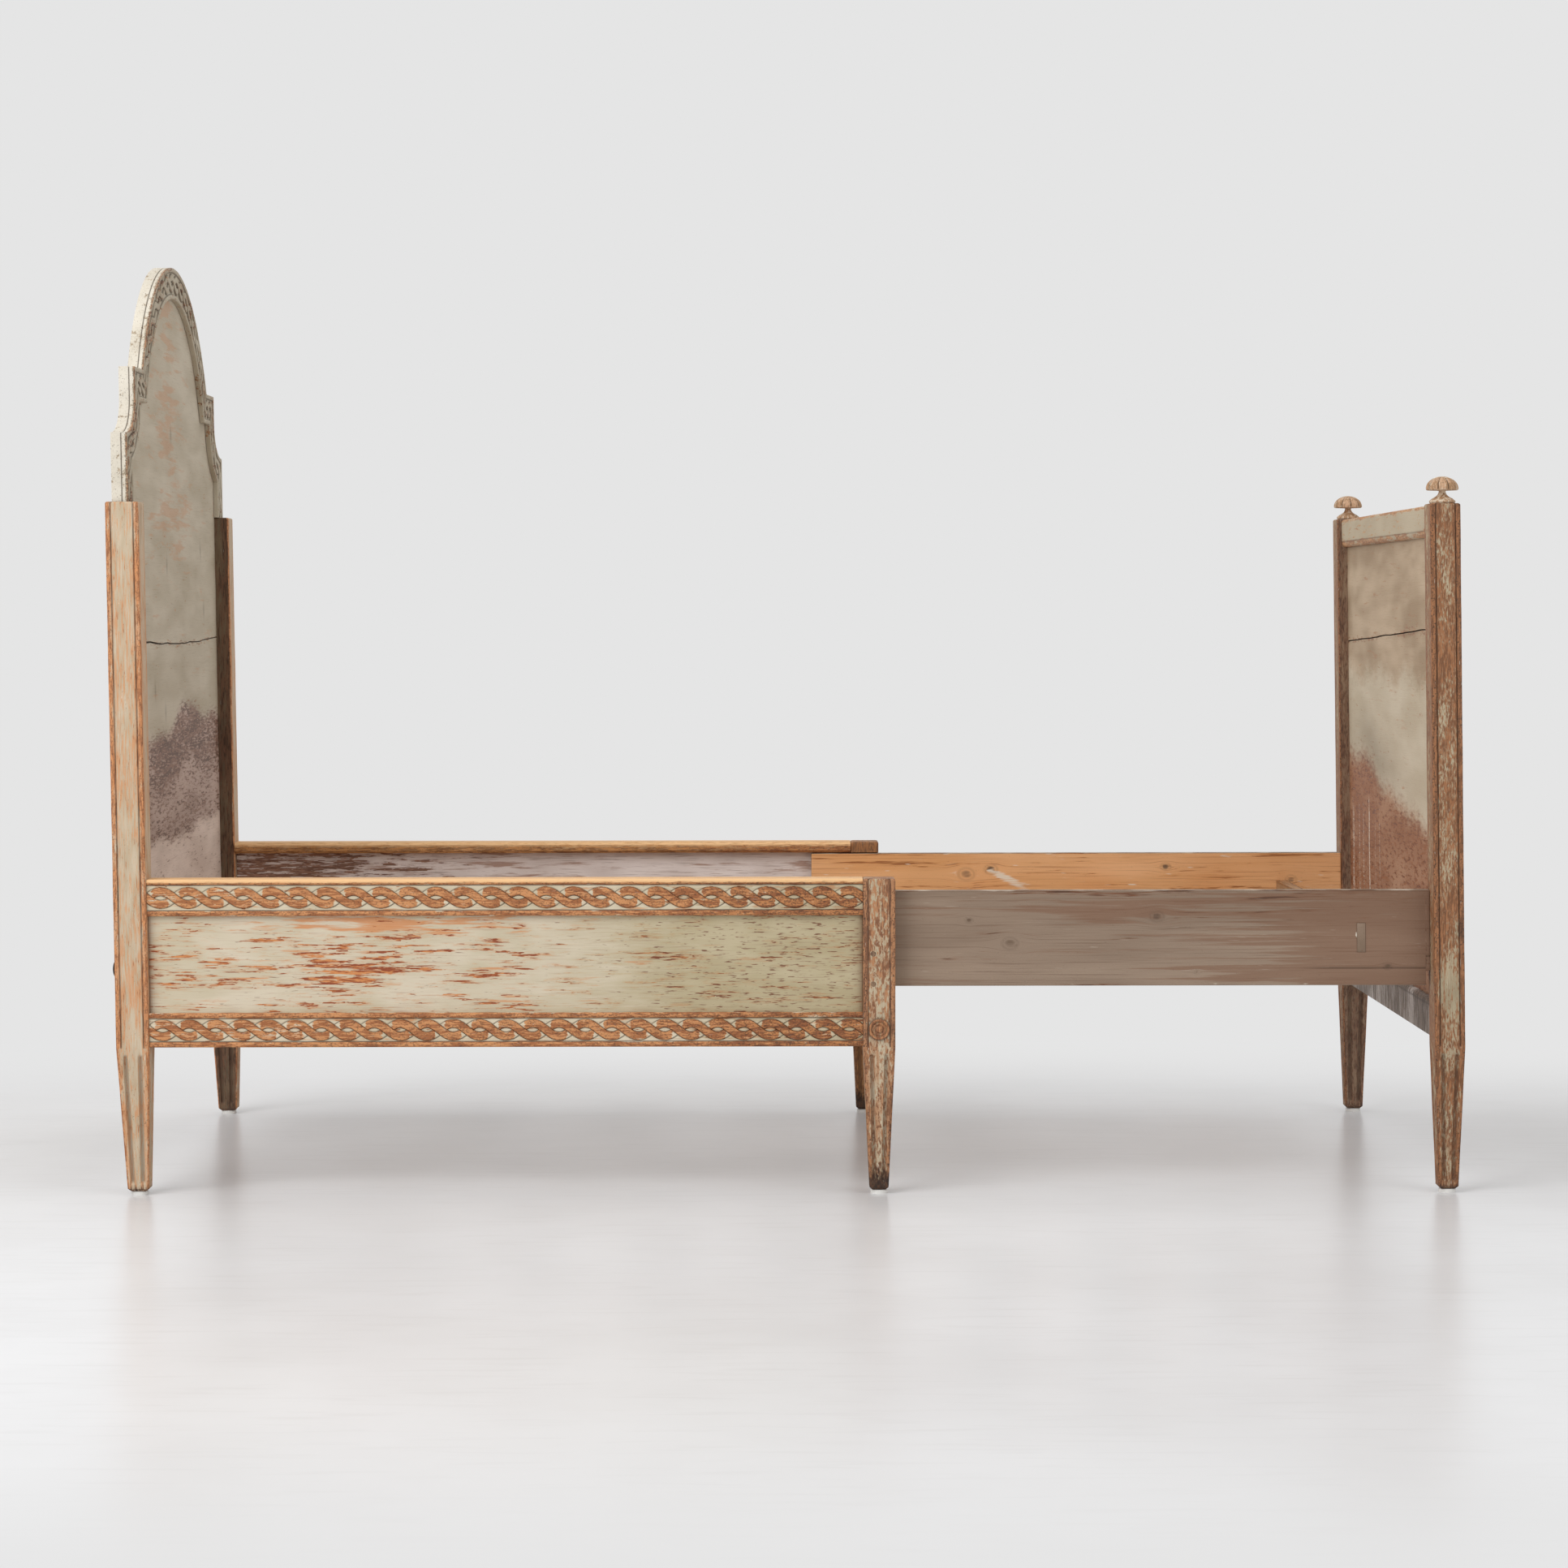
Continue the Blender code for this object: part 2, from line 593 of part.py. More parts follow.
def make_side(side, posts):
    """Makes one carved side: capped top rail, bottom rail, panel, pegs, rosette and slide ledger."""
    head, mid = posts["head", side], posts["mid", side]
    back = RAIL_SET + RAIL_THICKNESS
    cap_depth = BOARD_BACK_DEPTH + CAP_OVERHANG
    cap_bottom = SIDE_TOP - CAP_HEIGHT
    top_bottom = SIDE_TOP - TOP_RAIL_HEIGHT
    outline = rail_face(top_bottom, SIDE_TOP)
    outline += [(cap_depth - CAP_NOSE, SIDE_TOP), (cap_depth, SIDE_TOP - CAP_NOSE),
                (cap_depth, cap_bottom + CAP_NOSE), (cap_depth - CAP_NOSE, cap_bottom),
                (back, cap_bottom), (back, top_bottom)]
    side_piece(f"side_top_rail_{side}", outline, side)
    bottom_top = SIDE_BOTTOM + BOTTOM_RAIL_HEIGHT
    outline = rail_face(SIDE_BOTTOM, bottom_top) + [(back, bottom_top), (back, SIDE_BOTTOM)]
    side_piece(f"side_bottom_rail_{side}", outline, side)

    panel_top = cap_bottom - CLEAR
    depths = (PANEL_FRONT_DEPTH, PANEL_BACK_DEPTH)
    low, high = side_corners(side, (HEAD_FRONT + CLEAR, MID_BACK - CLEAR), depths, (SIDE_BOTTOM, panel_top))
    panel = piece(f"side_panel_{side}", block(low, high), "worn_paint", HEAD)
    for post, reach in ((head, (HEAD_FRONT - TENON_LENGTH, HEAD_FRONT + TENON_LENGTH)),
                        (mid, (MID_BACK - TENON_LENGTH, MID_BACK + TENON_LENGTH))):
        twin_tenons(panel, post, reach, depths, (SIDE_BOTTOM, panel_top), SIDE_MIDDLE)
    bed_bolt("head", side, head.obj, panel, HEAD_FRONT - HEAD_POST_X, HEAD_FRONT,
             sum(depths) / 2, SIDE_MIDDLE, HEAD, 0.0)

    slot = side_corners(side, (MID_BACK - OVERCUT, MID_FRONT + OVERCUT),
                        (PANEL_BACK_DEPTH + CLEAR, POST_Y + OVERCUT), (LEDGER_TOP, cap_bottom))
    cut(mid.obj, block(*slot))
    make_pegs(side, mid, panel)
    make_rosette(side, mid)

    ledger_low, ledger_high = side_corners(
        side, (HEAD_FRONT + CLEAR, MID_BACK - CLEAR),
        (PANEL_BACK_DEPTH + CLEAR, PANEL_BACK_DEPTH + CLEAR + LEDGER_WIDTH),
        (LEDGER_TOP - LEDGER_HEIGHT, LEDGER_TOP))
    piece(f"slide_ledger_{side}", block(ledger_low, ledger_high, SLAT_ARRIS), "aged_pine", HEAD)


def make_pegs(side, mid, panel):
    """Pins the panel's tenons in the mid post with two pegs driven from the outer face."""
    sign = SIDES[side]
    for label, z in (("lower", SIDE_MIDDLE - PEG_SPREAD / 2), ("upper", SIDE_MIDDLE + PEG_SPREAD / 2)):
        x = MID_BACK + PEG_INSET
        outer = Vector((x, sign * HALF, z))
        inner = Vector((x, sign * (HALF - PEG_LENGTH), z))
        piece(f"tenon_peg_{side}_{label}", rod(outer, inner, PEG_DIAMETER), "aged_pine", HEAD)
        past = Vector((0.0, sign * OVERCUT, 0.0))
        stop = Vector((0.0, -sign * CLEAR, 0.0))
        for target in (mid.obj, panel):
            cut(target, rod(outer + past, inner + stop, PEG_DIAMETER + 2 * CLEAR))


def make_rosette(side, mid):
    """Sets a turned rosette of rings and a button into the mid post's outer face."""
    sign = SIDES[side]
    radius = ROSETTE_DIAMETER / 2
    seat = Vector((mid.x, sign * (HALF - ROSETTE_SEAT), SIDE_BOTTOM + BOTTOM_RAIL_HEIGHT / 2))
    profile = [(CLEAR, radius, 0.0)] + [(ROSETTE_HEIGHT * t, radius * r, 0.0) for t, r in ROSETTE_PROFILE]
    rosette = piece(f"rosette_{side}", turned(profile, seat, (0, sign, 0), ROSETTE_STEPS),
                    "worn_paint", HEAD)
    smooth(rosette)
    past = seat + Vector((0.0, sign * (ROSETTE_SEAT + OVERCUT), 0.0))
    seat_profile = ((0.0, radius + CLEAR, 0.0), ((past - seat).length, radius + CLEAR, 0.0))
    cut(mid.obj, turned(seat_profile, seat, (0, sign, 0), ROSETTE_STEPS))


def crest_outline(inset):
    """Returns the crest's (y, z) outline, from left post to right, an inset in from its outer edge.

    It rises from the post, sweeps in along a hollow quarter ellipse, turns the square ear and spans
    the bed with a segment of a circle.
    """
    shoulder = SHOULDER_HALF - inset
    sweep_y, sweep_z = EAR_SET + inset, EAR_BOTTOM - SHOULDER_TOP + inset
    last = math.acos(inset / sweep_y)
    half = [(shoulder, HEAD_POST_TOP + CLEAR)]
    for k in range(SHOULDER_STEPS + 1):
        angle = last * (1.0 - k / SHOULDER_STEPS)
        half.append((SHOULDER_HALF - sweep_y * math.cos(angle), EAR_BOTTOM - sweep_z * math.sin(angle)))
    ear_z = EAR_TOP - inset
    radius = ARCH_RADIUS - inset
    spring = math.acos((ear_z - ARCH_CENTRE) / radius)
    half.append((SHOULDER_HALF - sweep_y, ear_z))
    arch = []
    for k in range(ARCH_STEPS + 1):
        angle = spring * (1.0 - 2.0 * k / ARCH_STEPS)
        arch.append((radius * math.sin(angle), ARCH_CENTRE + radius * math.cos(angle)))
    return half + arch + [(-y, z) for y, z in reversed(half)]


def make_crest():
    """Makes the eared, arched crest: a beaded band, a quirk round its edge, a rebate for the panel."""
    face = HEAD_FRONT - CREST_SET
    arris = CREST_SINK / 2
    quirk = QUIRK_WIDTH / 2
    section = ((0.0, CREST_THICKNESS), (0.0, CREST_QUIRK_SET + quirk), (QUIRK_DEPTH, CREST_QUIRK_SET),
               (0.0, CREST_QUIRK_SET - quirk), (0.0, arris), (arris, 0.0), (CREST_BEAD, 0.0),
               (CREST_BEAD + arris, CREST_SINK), (CREST_BAND - CREST_BEAD - arris, CREST_SINK),
               (CREST_BAND - CREST_BEAD, 0.0), (CREST_BAND - arris, 0.0), (CREST_BAND, arris),
               (CREST_BAND, CREST_FACE), (CREST_REBATE, CREST_FACE), (CREST_REBATE, CREST_THICKNESS))
    lines = [[Vector((face - sink, y, z)) for y, z in crest_outline(inset)] for inset, sink in section]
    rings = [list(ring) for ring in zip(*lines)]
    piece("headboard_crest", loft(rings), "worn_paint", HEAD)


def make_headboard(posts):
    """Makes the crest, the two boards of the panel and the bottom rail between the head posts."""
    make_crest()

    def place(y, z, along):
        return Vector((along, y, z))

    panel_bottom = END_RAIL_TOP - PANEL_GROOVE + CLEAR
    arch = crest_outline(CREST_REBATE + CLEAR)
    upper = [(PANEL_HALF, HEAD_CRACK_Z + CRACK_WIDTH)] + arch + [(-PANEL_HALF, HEAD_CRACK_Z + CRACK_WIDTH)]
    piece("headboard_panel_upper", prism(upper, HEAD_PANEL_FRONT, HEAD_PANEL_BACK, place),
          "board_paint", HEAD)
    piece("headboard_panel_lower", block((HEAD_PANEL_BACK, -PANEL_HALF, panel_bottom),
                                         (HEAD_PANEL_FRONT, PANEL_HALF, HEAD_CRACK_Z)), "board_paint", HEAD)

    half = HEAD_RAIL_THICKNESS / 2
    centre = (HEAD_PANEL_FRONT + HEAD_PANEL_BACK) / 2
    rail = cross_rail("head_bottom_rail", moulded_rail(half, END_RAIL_BOTTOM, END_RAIL_TOP, True),
                      centre, HEAD)
    groove_panel(rail, centre, panel_bottom - CLEAR, END_RAIL_TOP + OVERCUT)
    for side in SIDES:
        post = posts["head", side].obj
        end_tenon(rail, post, side, centre, (END_RAIL_BOTTOM, END_RAIL_TOP - PANEL_GROOVE))
        groove_post(post, side, centre, panel_bottom - CLEAR, HEAD_POST_TOP + OVERCUT)


def moulded_rail(half, bottom, top, ovolo_on_top):
    """Returns a cross rail's (x, z) outline with an ovolo along both edges that face the panel."""
    curve = []
    for k in range(OVOLO_STEPS + 1):
        angle = math.pi / 2 * k / OVOLO_STEPS
        curve.append((half - OVOLO_DEPTH * (1.0 - math.cos(angle)), OVOLO_HEIGHT * math.sin(angle)))
    if ovolo_on_top:
        right = [(half, bottom)] + [(u, top - OVOLO_HEIGHT + rise) for u, rise in curve]
    else:
        right = [(u, bottom + OVOLO_HEIGHT - rise) for u, rise in reversed(curve)]
        right += [(half, top - TOP_ARRIS), (half - TOP_ARRIS, top)]
    return right + [(-u, z) for u, z in reversed(right)]


def groove_panel(rail, centre, bottom, top):
    """Cuts the groove that holds a panel's edge along a cross rail."""
    half = PANEL_THICKNESS / 2 + CLEAR
    cut(rail, block((centre - half, -HALF, bottom), (centre + half, HALF, top)))


def groove_post(post, side, centre, bottom, top):
    """Cuts the groove that holds a panel's side edge along a post's inner face."""
    half = PANEL_THICKNESS / 2 + CLEAR
    cut(post, block(*side_corners(side, (centre - half, centre + half),
                                  (POST_Y - PANEL_GROOVE, POST_Y + OVERCUT), (bottom, top))))


# Foot section

def make_footboard(posts):
    """Makes the footboard's rails and panel boards between the foot posts, and returns the boards."""
    half = FOOT_RAIL_THICKNESS / 2
    top = FOOT_POST_TOP - FOOT_TOP_RAIL_DROP
    top_bottom = top - FOOT_TOP_RAIL_HEIGHT
    upper = cross_rail("foot_top_rail", moulded_rail(half, top_bottom, top, False), FOOT_CENTRE, FOOT)
    lower = cross_rail("foot_bottom_rail", moulded_rail(half, END_RAIL_BOTTOM, END_RAIL_TOP, True),
                       FOOT_CENTRE, FOOT)
    panel_top = top_bottom + PANEL_GROOVE - CLEAR
    panel_bottom = END_RAIL_TOP - PANEL_GROOVE + CLEAR
    x_low, x_high = FOOT_CENTRE - PANEL_THICKNESS / 2, FOOT_CENTRE + PANEL_THICKNESS / 2
    panels = []
    for name, bottom, high in (("lower", panel_bottom, FOOT_CRACK_Z),
                               ("upper", FOOT_CRACK_Z + CRACK_WIDTH, panel_top)):
        body = block((x_low, -PANEL_HALF, bottom), (x_high, PANEL_HALF, high))
        panels.append(piece(f"foot_panel_{name}", body, "board_paint", FOOT))
    groove_panel(upper, FOOT_CENTRE, top_bottom - OVERCUT, panel_top + CLEAR)
    groove_panel(lower, FOOT_CENTRE, panel_bottom - CLEAR, END_RAIL_TOP + OVERCUT)
    for side in SIDES:
        post = posts["foot", side].obj
        end_tenon(upper, post, side, FOOT_CENTRE, (top_bottom + PANEL_GROOVE, top))
        end_tenon(lower, post, side, FOOT_CENTRE, (END_RAIL_BOTTOM, END_RAIL_TOP - PANEL_GROOVE))
        groove_post(post, side, FOOT_CENTRE, panel_bottom - CLEAR, panel_top + CLEAR)
    return panels


def make_finial(side, post):
    """Makes a turned, lobed finial whose pin is glued into the top of the foot post."""
    base, neck, dome = FINIAL_BASE_DIAMETER / 2, FINIAL_NECK_DIAMETER / 2, FINIAL_DOME_DIAMETER / 2
    neck_z = FINIAL_BASE_HEIGHT + FINIAL_NECK_HEIGHT
    rim_z = neck_z + FINIAL_RIM
    profile = [(-FINIAL_PIN_LENGTH, FINIAL_PIN_DIAMETER / 2, 0.0), (CLEAR, FINIAL_PIN_DIAMETER / 2, 0.0),
               (CLEAR, base - FINIAL_ARRIS, 0.0)]
    profile += [(FINIAL_BASE_HEIGHT * t, base * r, 0.0) for t, r in FINIAL_BASE_PROFILE]
    flare = base * FINIAL_BASE_PROFILE[-1][1] - neck
    for k in range(1, FINIAL_NECK_STEPS):
        t = k / FINIAL_NECK_STEPS
        reach = neck + flare * (1.0 - t) ** FINIAL_NECK_HOLLOW
        profile.append((FINIAL_BASE_HEIGHT + FINIAL_NECK_HEIGHT * t, reach, 0.0))
    profile += [(neck_z + FINIAL_RIM * t, dome * r, 1.0 if t else 0.0) for t, r in FINIAL_UNDERSIDE]
    rise = FINIAL_DOME_HEIGHT - FINIAL_RIM
    for k in range(1, FINIAL_DOME_STEPS + 1):
        angle = math.pi / 2 * k / (FINIAL_DOME_STEPS + 0.5)
        profile.append((rim_z + rise * math.sin(angle), dome * math.cos(angle), math.cos(angle)))
    foot = Vector((post.x, post.y, FOOT_POST_TOP))
    steps = FINIAL_LOBES * FINIAL_LOBE_STEPS
    finial = piece(f"finial_{side}", turned(profile, foot, (0, 0, 1), steps, FINIAL_LOBES, FINIAL_LOBE_DEPTH),
                   "worn_paint", FOOT)
    smooth(finial)
    pin_foot = foot - Vector((0, 0, FINIAL_PIN_LENGTH + CLEAR))
    hole = FINIAL_PIN_DIAMETER / 2 + CLEAR
    length = FINIAL_PIN_LENGTH + OVERCUT
    cut(post.obj, turned(((0.0, hole, 0.0), (length, hole, 0.0)), pin_foot, (0, 0, 1), steps))


def make_boards(posts, panels):
    """Makes the two sliding boards, bolted to the foot posts, and returns them by side."""
    boards = {}
    depths = (BOARD_FRONT_DEPTH, BOARD_BACK_DEPTH)
    notch_top = BOARD_BOTTOM + END_NOTCH_HEIGHT
    for side in SIDES:
        post = posts["foot", side]
        low, high = side_corners(side, (BOARD_END, FOOT_BACK - CLEAR), depths, (BOARD_BOTTOM, BOARD_TOP))
        board = piece(f"sliding_board_{side}", block(low, high, BOARD_ARRIS), "aged_pine", FOOT)
        twin_tenons(board, post, (FOOT_BACK - BOARD_TENON, FOOT_BACK + BOARD_TENON), depths,
                    (notch_top, BOARD_TOP), BOARD_MIDDLE)
        bed_bolt("foot", side, post.obj, board, FOOT_FRONT, FOOT_BACK, sum(depths) / 2, BOARD_MIDDLE, FOOT,
                 BOLT_RECESS, panels)
        notch = side_corners(side, (FOOT_BACK - END_NOTCH_LENGTH, FOOT_BACK + OVERCUT),
                             (BOARD_FRONT_DEPTH - OVERCUT, BOARD_BACK_DEPTH + OVERCUT),
                             (BOARD_BOTTOM - OVERCUT, notch_top))
        cut(board, block(*notch))
        boards[side] = board
    return boards


def make_cross_stretcher(boards):
    """Ties the sliding boards with a bar whose tenons show on their outer faces."""
    centre = FOOT_BACK - STRETCHER_BACK
    reach = HALF - BOARD_BACK_DEPTH - CLEAR
    outer = HALF - BOARD_FRONT_DEPTH
    low = (centre - STRETCHER_X / 2, -reach, BOARD_MIDDLE - STRETCHER_Z / 2)
    high = (centre + STRETCHER_X / 2, reach, BOARD_MIDDLE + STRETCHER_Z / 2)
    bar = piece("cross_stretcher", block(low, high), "aged_pine", FOOT)
    half_x, half_z = STRETCHER_TENON_X / 2, STRETCHER_TENON_Z / 2
    add(bar, block((centre - half_x, -outer, BOARD_MIDDLE - half_z),
                   (centre + half_x, outer, BOARD_MIDDLE + half_z)))
    for board in boards.values():
        low, high = grown((centre - half_x, -HALF, BOARD_MIDDLE - half_z),
                          (centre + half_x, HALF, BOARD_MIDDLE + half_z), CLEAR)
        cut(board, block(low, high))


# Cross members and slats

def make_mid_stretcher(posts):
    """Ties the two mid posts below the slide with a rail tenoned into both."""
    half = MID_STRETCHER_X / 2
    centre = (MID_BACK + MID_FRONT) / 2
    top = LEDGER_TOP - LEDGER_HEIGHT - CLEAR
    outline = ((half, top - MID_STRETCHER_Z), (half, top), (-half, top), (-half, top - MID_STRETCHER_Z))
    rail = cross_rail("mid_stretcher", outline, centre, HEAD, "aged_pine")
    for side in SIDES:
        end_tenon(rail, posts["mid", side].obj, side, centre, (top - MID_STRETCHER_Z, top))


def lay_slats(prefix, count, x_start, x_end, reach, bottom, section):
    """Lays evenly spaced slats from side to side."""
    pitch = (x_end - x_start) / count
    for k in range(count):
        x = x_start + pitch * (k + 0.5)
        low = (x - SLAT_WIDTH / 2, -reach, bottom)
        high = (x + SLAT_WIDTH / 2, reach, bottom + SLAT_THICKNESS)
        piece(f"{prefix}_slat_{k + 1}", block(low, high, SLAT_ARRIS), "aged_pine", section)


def make_slats():
    """Makes the slats of both sections and the ledgers on the sliding boards."""
    lay_slats("head", HEAD_SLATS, HEAD_FRONT, MID_BACK, HALF - BOARD_BACK_DEPTH - SLAT_PLAY,
              LEDGER_TOP + CLEAR, HEAD)
    stretcher = FOOT_BACK - STRETCHER_BACK - STRETCHER_X / 2
    for side in SIDES:
        low, high = side_corners(side, (BOARD_END, stretcher - SLAT_LEDGER_GAP),
                                 (BOARD_BACK_DEPTH + CLEAR, BOARD_BACK_DEPTH + CLEAR + SLAT_LEDGER_WIDTH),
                                 (SLAT_LEDGER_TOP - SLAT_LEDGER_HEIGHT, SLAT_LEDGER_TOP))
        piece(f"slat_ledger_{side}", block(low, high, SLAT_ARRIS), "aged_pine", FOOT)
    lay_slats("foot", FOOT_SLATS, BOARD_END, stretcher - SLAT_LEDGER_GAP,
              HALF - BOARD_BACK_DEPTH - SLAT_PLAY, SLAT_LEDGER_TOP + CLEAR, FOOT)


# Rake

def rake(section, slope, upright_x, full_x):
    """Shifts a section's pieces towards the head with height, from upright at one x to full at another."""
    for obj in section.children:
        count = len(obj.data.vertices)
        points = np.empty(count * 3)
        obj.data.vertices.foreach_get("co", points)
        points = points.reshape(count, 3)
        world = points + np.array(obj.location)
        share = np.clip((world[:, 0] - upright_x) / (full_x - upright_x), 0.0, 1.0)
        points[:, 0] -= slope * world[:, 2] * share
        obj.data.vertices.foreach_set("co", points.ravel())
        obj.data.update()


def build():
    """Builds the whole bed."""
    posts = make_posts()
    for side in SIDES:
        make_side(side, posts)
        make_finial(side, posts["foot", side])
    make_headboard(posts)
    panels = make_footboard(posts)
    boards = make_boards(posts, panels)
    make_cross_stretcher(boards)
    make_mid_stretcher(posts)
    make_slats()
    rake(HEAD, HEAD_RAKE, MID_BACK, HEAD_FRONT)
    rake(FOOT, FOOT_RAKE, BOARD_END, FOOT_BACK)


build()
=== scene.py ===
"""Dresses a carved and painted pull-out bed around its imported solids.

The head section has four posts, carved sides and an arched headboard. The foot section has two posts, a
footboard with finials and two boards that slide into the head section. Every piece that shows is a surface
worked out on a grid, and each of its points carries painted values, such as how worn it is, which the
finishes read. Lengths are in metres, +X runs from head to foot and +Z is up. Pieces are drawn upright on the
right-hand side (-Y), mirrored for the left-hand side and then leaned as the solids are.
"""

import logging
import math
from dataclasses import KW_ONLY, dataclass, field, replace
from enum import Enum

import bpy
import numpy as np
from mathutils import Matrix, Vector


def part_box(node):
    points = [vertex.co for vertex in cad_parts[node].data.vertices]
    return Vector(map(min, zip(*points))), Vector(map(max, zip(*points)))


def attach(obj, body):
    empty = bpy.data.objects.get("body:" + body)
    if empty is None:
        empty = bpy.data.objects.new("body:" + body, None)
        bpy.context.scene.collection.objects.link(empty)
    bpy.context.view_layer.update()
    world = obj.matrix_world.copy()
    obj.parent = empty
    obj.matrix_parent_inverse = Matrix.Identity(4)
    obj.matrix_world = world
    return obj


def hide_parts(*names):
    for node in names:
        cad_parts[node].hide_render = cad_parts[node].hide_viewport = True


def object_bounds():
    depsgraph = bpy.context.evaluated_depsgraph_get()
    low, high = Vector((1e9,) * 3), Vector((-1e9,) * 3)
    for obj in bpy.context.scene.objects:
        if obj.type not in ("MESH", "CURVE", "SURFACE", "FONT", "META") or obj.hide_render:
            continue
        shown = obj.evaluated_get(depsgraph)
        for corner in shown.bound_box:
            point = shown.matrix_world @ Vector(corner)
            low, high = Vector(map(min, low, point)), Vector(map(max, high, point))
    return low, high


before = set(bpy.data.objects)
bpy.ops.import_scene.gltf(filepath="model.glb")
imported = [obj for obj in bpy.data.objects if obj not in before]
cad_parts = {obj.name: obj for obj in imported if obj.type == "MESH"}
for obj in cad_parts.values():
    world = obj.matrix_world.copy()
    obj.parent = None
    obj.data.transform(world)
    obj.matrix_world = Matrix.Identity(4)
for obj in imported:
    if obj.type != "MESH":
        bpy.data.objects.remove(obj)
CAD_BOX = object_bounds()
LOG = logging.getLogger("carved_bed")

# A point lies on a flat face where its direction is at least this close to an axis
FLAT = 0.99
# Half the gap between the two points that make a crisp step
HAIR = 0.00005
# Edges that turn by more than this, in degrees, stay sharp
SHARP_ANGLE = 42.0

Array = np.ndarray
Pair = tuple[float, float]
Place = tuple[float, float, float]
Tones = tuple[str, str]
Socket = bpy.types.NodeSocket


# Named choices

class Labelled(Enum):
    """A choice whose word stands in the names of pieces and nodes."""

    @property
    def label(self) -> str:
        """The word."""
        return self.name.lower()


class Side(Labelled):
    """The two sides of the bed, by the sign of their Y."""

    RIGHT = -1
    LEFT = 1


class Half(Labelled):
    """The two bodies of the bed."""

    HEAD = "head_section"
    FOOT = "foot_section"


class Slot(Enum):
    """The record's material slots."""

    PAINT = "worn_paint"
    BOARD = "board_paint"
    PINE = "aged_pine"
    IRON = "black_iron"


class Grain(Enum):
    """The axis that a piece's grain follows."""

    LENGTHWISE = 0
    CROSSWISE = 1
    UPRIGHT = 2


# Shared sizes

@dataclass
class Plan:
    """Sizes and places that several sub-assemblies share, as the solids have them.

    The inner faces of the end posts are head_front and foot_back, and the outer ones head_back and
    foot_front. depth is measured in from the bed's outer face, at half its width.
    """

    half: float
    mid_back: float
    mid_front: float
    side_top: float
    foot_reach: float
    side_length: float = 1.0336
    side_bottom: float = 0.217
    bottom_rail_height: float = 0.050
    knee_z: float = 0.215
    toe_z: float = 0.0058
    post_depth: float = 0.052
    head_post_top: float = 1.008
    head_post_width: float = 0.048
    foot_post_top: float = 1.003
    foot_post_width: float = 0.044
    cap_height: float = 0.018
    panel_front_depth: float = 0.0113
    panel_back_depth: float = 0.0318
    board_front_depth: float = 0.0333
    board_back_depth: float = 0.0523
    board_height: float = 0.1395
    board_lap: float = 0.113
    slide_clear: float = 0.0015
    panel_half: float = 0.4307
    panel_thickness: float = 0.012
    panel_groove: float = 0.008
    end_rail_bottom: float = 0.222
    end_rail_height: float = 0.055
    nut_back: float = 0.040
    nut_half_x: float = 0.0043
    nut_half_z: float = 0.0073
    bolt_recess: float = 0.007
    head_rake: float = 0.0113
    foot_rake: float = 0.0157
    clear: float = 0.0003

    @classmethod
    def from_frame(cls) -> "Plan":
        """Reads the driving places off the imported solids."""
        low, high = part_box("mid_post_right")
        return cls(half=-low.y, mid_back=low.x, mid_front=high.x, side_top=high.z, foot_reach=CAD_BOX[1].x)

    def __post_init__(self) -> None:
        """Works out the places that follow from the sizes; the posts and the boards are taken upright."""
        self.head_front = self.mid_back - self.side_length
        self.head_back = self.head_front - self.head_post_width
        self.mid_centre = (self.mid_back + self.mid_front) / 2
        self.foot_front = self.foot_reach + self.foot_rake * self.knee_z
        self.foot_back = self.foot_front - self.foot_post_width
        self.foot_centre = (self.foot_front + self.foot_back) / 2
        self.board_end = self.mid_front - self.board_lap
        self.cap_bottom = self.side_top - self.cap_height
        self.board_top = self.cap_bottom - self.slide_clear
        self.board_bottom = self.board_top - self.board_height
        self.board_middle = (self.board_top + self.board_bottom) / 2
        self.side_middle = (self.side_bottom + self.cap_bottom) / 2
        self.rosette_z = self.side_bottom + self.bottom_rail_height / 2
        self.ledger_top = self.board_bottom - self.clear
        self.end_rail_top = self.end_rail_bottom + self.end_rail_height
        self.groove_bottom = self.end_rail_top - self.panel_groove + self.clear
        self.between_posts = self.half - self.post_depth - self.clear

    def nut_edges(self, x: float, z: float) -> tuple[Pair, Pair]:
        """The edges in x and in z of the pocket of a nut whose middle is given."""
        return (x - self.nut_half_x, x + self.nut_half_x), (z - self.nut_half_z, z + self.nut_half_z)

    def rake(self, points: Array, half: Half) -> Array:
        """Leans points towards the head: x falls by slope * z * share, the share growing along the section.

        Args:
            points: positions, with x, y, z in the last axis.
            half: the section that the points belong to.

        Returns:
            The leaning positions.
        """
        if half is Half.HEAD:
            slope, upright, full = self.head_rake, self.mid_back, self.head_front
        else:
            slope, upright, full = self.foot_rake, self.board_end, self.foot_back
        share = np.clip((points[..., 0] - upright) / (full - upright), 0.0, 1.0)
        leaning = points.copy()
        leaning[..., 0] -= slope * points[..., 2] * share
        return leaning


# Curves and surfaces

def smooth_step(low: float | Array, high: float | Array, value: Array) -> Array:
    """Rises from 0 at low to 1 at high as 3t^2 - 2t^3.

    Args:
        low: the value where the rise starts.
        high: the value where it ends.
        value: the values to map.

    Returns:
        The mapped values.
    """
    t = np.clip((value - low) / (high - low), 0.0, 1.0)
    return t * t * (3.0 - 2.0 * t)


def bump(value: Array, middle: float | Array, spread: float) -> Array:
    """Rises to 1 at a middle and fades on both sides: exp(-((value - middle) / spread)^2).

    Args:
        value: the values to map.
        middle: the value at the top.
        spread: the distance at which 1/e is left.

    Returns:
        The mapped values.
    """
    return np.exp(-((value - middle) / spread) ** 2)


